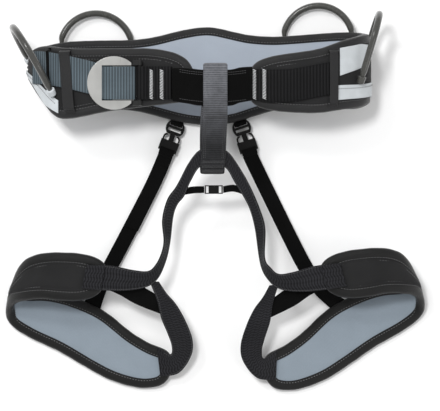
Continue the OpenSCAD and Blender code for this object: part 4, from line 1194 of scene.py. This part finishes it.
for where, (ends, way) in loopEnds.items():
    put, c = onEnds(ends, way)
    pin, full = fit["pin"] / 2, fit["tube"] / 2
    if where.startswith("rear"):
        line = loopLine(c, rearReach, neck)
        foot = [(c / 2 - pinLength, 0, 0), (c / 2 - bend - 2, 0, 0)]
        foot += [(c / 2 - bend + bend * math.sin(math.radians(a)),
                  bend - bend * math.cos(math.radians(a)), 0)
                 for a in range(0, 91, 15)]
        foot += [(c / 2, y, 0) for y in (7, 10, 12.5)]
    else:
        line = loopLine(c, (frontTube - math.pi * c / 2) / 2 + c / 2, 11.0)
        foot = [(c / 2, y, 0) for y in (0.1, 3, 6, 8.5)]
    points = foot + line + [(-x, y, z) for x, y, z in reversed(foot)]
    radii = np.array([pin] * len(foot) + [full] * len(line) + [pin] * len(foot))
    for _ in range(2):
        radii[1:-1] = (radii[:-2] + 2 * radii[1:-1] + radii[2:]) / 4
    points = np.array([put(p) for p in points])
    s = np.concatenate([[0], np.cumsum(np.linalg.norm(np.diff(points, axis=0), axis=1))])
    at = np.linspace(0, s[-1], 220)
    even = np.stack([np.interp(at, s, points[:, k]) for k in range(3)], axis=1)
    size = np.interp(at, s, radii)
    for _ in range(3):
        even[1:-1] = (even[:-2] + 2 * even[1:-1] + even[2:]) / 4
    node = "gear_loop_" + where
    settle(tube(node + "_tube", even, size, looks["tube"], 20), [node], onBody=node)
    # The sewn ends that hold the loop
    for k, sign in enumerate((-1, 1)):
        name = "loop_end_%s_%d" % (where, k)
        if where.startswith("rear"):
            line = [(sign * (c / 2 - 5 - f), 0, 0) for f in np.linspace(-0.2, 7, 12)]
            size = np.interp(np.linspace(0, 1, 12), [0, 0.1, 0.9, 1],
                             [sleeveR - 0.4, sleeveR, sleeveR, sleeveR - 0.4])
            material, slotName = looks["sleeve"], "cover"
        else:
            line = [(sign * c / 2, f, 0) for f in np.linspace(-1.2, 7.3, 14)]
            size = np.interp(np.linspace(0, 1, 14), [0, 0.08, 0.9, 1],
                             [fit["pin"] / 2 + 1.2, fit["pin"] / 2 + 1.8, fit["pin"] / 2 + 2.6,
                              fit["pin"] / 2 + 2.2])
            material, slotName = looks["silver" if where == "front_left" else "tube"], "side_panel"
        end = tube(name, [put(p) for p in line], size, material, 18)
        settle(end, ["loop_sleeves_" + where] if k == 0 else ())
print("gear loops made")


# ---- Hard parts from the solids ----
def refined(name, node, look, material, onBody=body):
    # The solid's own shape, merged, with rounded edges
    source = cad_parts[node]
    mesh = source.data.copy()
    mesh.name = name
    work = bmesh.new()
    work.from_mesh(mesh)
    bmesh.ops.remove_doubles(work, verts=work.verts, dist=2e-6)
    bmesh.ops.dissolve_limit(work, angle_limit=math.radians(0.6), verts=work.verts,
                             edges=work.edges)
    work.to_mesh(mesh)
    work.free()
    mesh.materials.clear()
    mesh.materials.append(material)
    piece = bpy.data.objects.new(name, mesh)
    bpy.context.scene.collection.objects.link(piece)
    soft = piece.modifiers.new("soft edges", "BEVEL")
    soft.width = look["edge"] * mm
    soft.segments = look["segments"]
    soft.limit_method = "ANGLE"
    soft.angle_limit = math.radians(28)
    takeModifiers(piece)
    piece.data.polygons.foreach_set("use_smooth", [True] * len(piece.data.polygons))
    keep = piece.modifiers.new("shading", "WEIGHTED_NORMAL")
    keep.keep_sharp = True
    return settle(piece, [node], onBody=onBody)


steel = {"edge": 0.9, "segments": 3}
knuckles = {"from": barX - 9.6, "past": 16.5}  # where the blackened ends of the plate start
plate = refined("buckle_plate", "buckle_frame", steel, looks["metal"], "waist_buckle")
plate.data.materials.append(looks["darkMetal"])
cut = bmesh.new()
cut.from_mesh(plate.data)
bmesh.ops.bisect_plane(cut, geom=cut.verts[:] + cut.edges[:] + cut.faces[:],
                       plane_co=(knuckles["from"] * mm, 0, 0), plane_no=(1, 0, 0))
cut.to_mesh(plate.data)
cut.free()
for face in plate.data.polygons:  # the knuckles at the bar's ends are blackened, as the bar is
    face.material_index = int(face.center.x > knuckles["from"] * mm
                              and abs(face.center.y - buckleY * mm) > knuckles["past"] * mm)
refined("buckle_rod", "buckle_bar", {"edge": 0.4, "segments": 2}, looks["darkMetal"],
        "waist_buckle")
refined("buckle_tongue", "buckle_slider", {"edge": 0.5, "segments": 3}, looks["metal"])
plastic = {"edge": 0.55, "segments": 3}
for side in ("left", "right"):
    refined("clip_front_" + side, "clip_plug_" + side, plastic, looks["clip"])
    refined("clip_back_" + side, "clip_socket_" + side, plastic, looks["clip"])
    for arm in ("a", "b"):
        node = "clip_arm_%s_%s" % (arm, side)
        refined("clip_spring_%s_%s" % (arm, side), node, {"edge": 0.35, "segments": 2},
                looks["clip"], node)
refined("crotch_clip", "crotch_buckle", {"edge": 0.5, "segments": 3}, looks["clip"])
print("buckles and clips made")

# ---- Bar tacks ----
stackTop = frontZ + gap + 2 * fit["web"] + gap + 0.25
rightTop = frontZ + gap + 2 * fit["web"] + 0.35
sew("bar_tacks_front", [bandRun(-73.5, 113.5, 145.5, stackTop + 1.15),
                        bandRun(-61.5, 113.5, 145.5, stackTop + 0.1)]
    + [bandRun(x, 113.5, 146, rightTop) for x in (44.5, 56.0)], tackStitch, "paleThread")

# ---- Floor, lights, camera ----
floorMesh = bpy.data.meshes.new("floor")
floorMesh.from_pydata([(-6, -6, -0.0005), (6, -6, -0.0005), (6, 6, -0.0005), (-6, 6, -0.0005)],
                      [], [(0, 1, 2, 3)])
floor = bpy.data.objects.new("floor", floorMesh)
bpy.context.scene.collection.objects.link(floor)
paper, _, _, paperShader = newMaterial("palePaper")
paperShader.inputs["Base Color"].default_value = (0.9, 0.9, 0.9, 1)
paperShader.inputs["Roughness"].default_value = 0.9
floorMesh.materials.append(paper)

world = bpy.data.worlds.new("studio")
bpy.context.scene.world = world
world.use_nodes = True
world.node_tree.nodes["Background"].inputs["Color"].default_value = (1, 1, 1, 1)
world.node_tree.nodes["Background"].inputs["Strength"].default_value = 0.62


def areaLight(name, place, target, size, power, glossy=True):
    data = bpy.data.lights.new(name, "AREA")
    data.shape = "SQUARE"
    data.size = size
    data.energy = power
    lamp = bpy.data.objects.new(name, data)
    lamp.location = place
    lamp.visible_glossy = glossy
    lamp.rotation_mode = "QUATERNION"
    lamp.rotation_quaternion = (Vector(target) - Vector(place)).to_track_quat("-Z", "Y")
    bpy.context.scene.collection.objects.link(lamp)


areaLight("key", (-0.34, 0.44, 1.9), (0, 0, 0), 0.3, 21,
          glossy=False)  # lights the cloth without a glare on the buckle
areaLight("edge", (-0.75, 0.95, 1.6), (0, 0, 0), 0.3, 8)
areaLight("fill", (1.3, -0.6, 1.4), (0, 0, 0), 1.0, 4)
bpy.context.scene.view_settings.view_transform = "Standard"

camera = bpy.data.cameras.new("camera")
camera.sensor_width = 36.0
camera.lens = 135.9
camera.clip_end = 50
eye = bpy.data.objects.new("camera", camera)
eye.location = (0.0053, -0.009, 2.0)
bpy.context.scene.collection.objects.link(eye)
bpy.context.scene.camera = eye

print("scene ready")
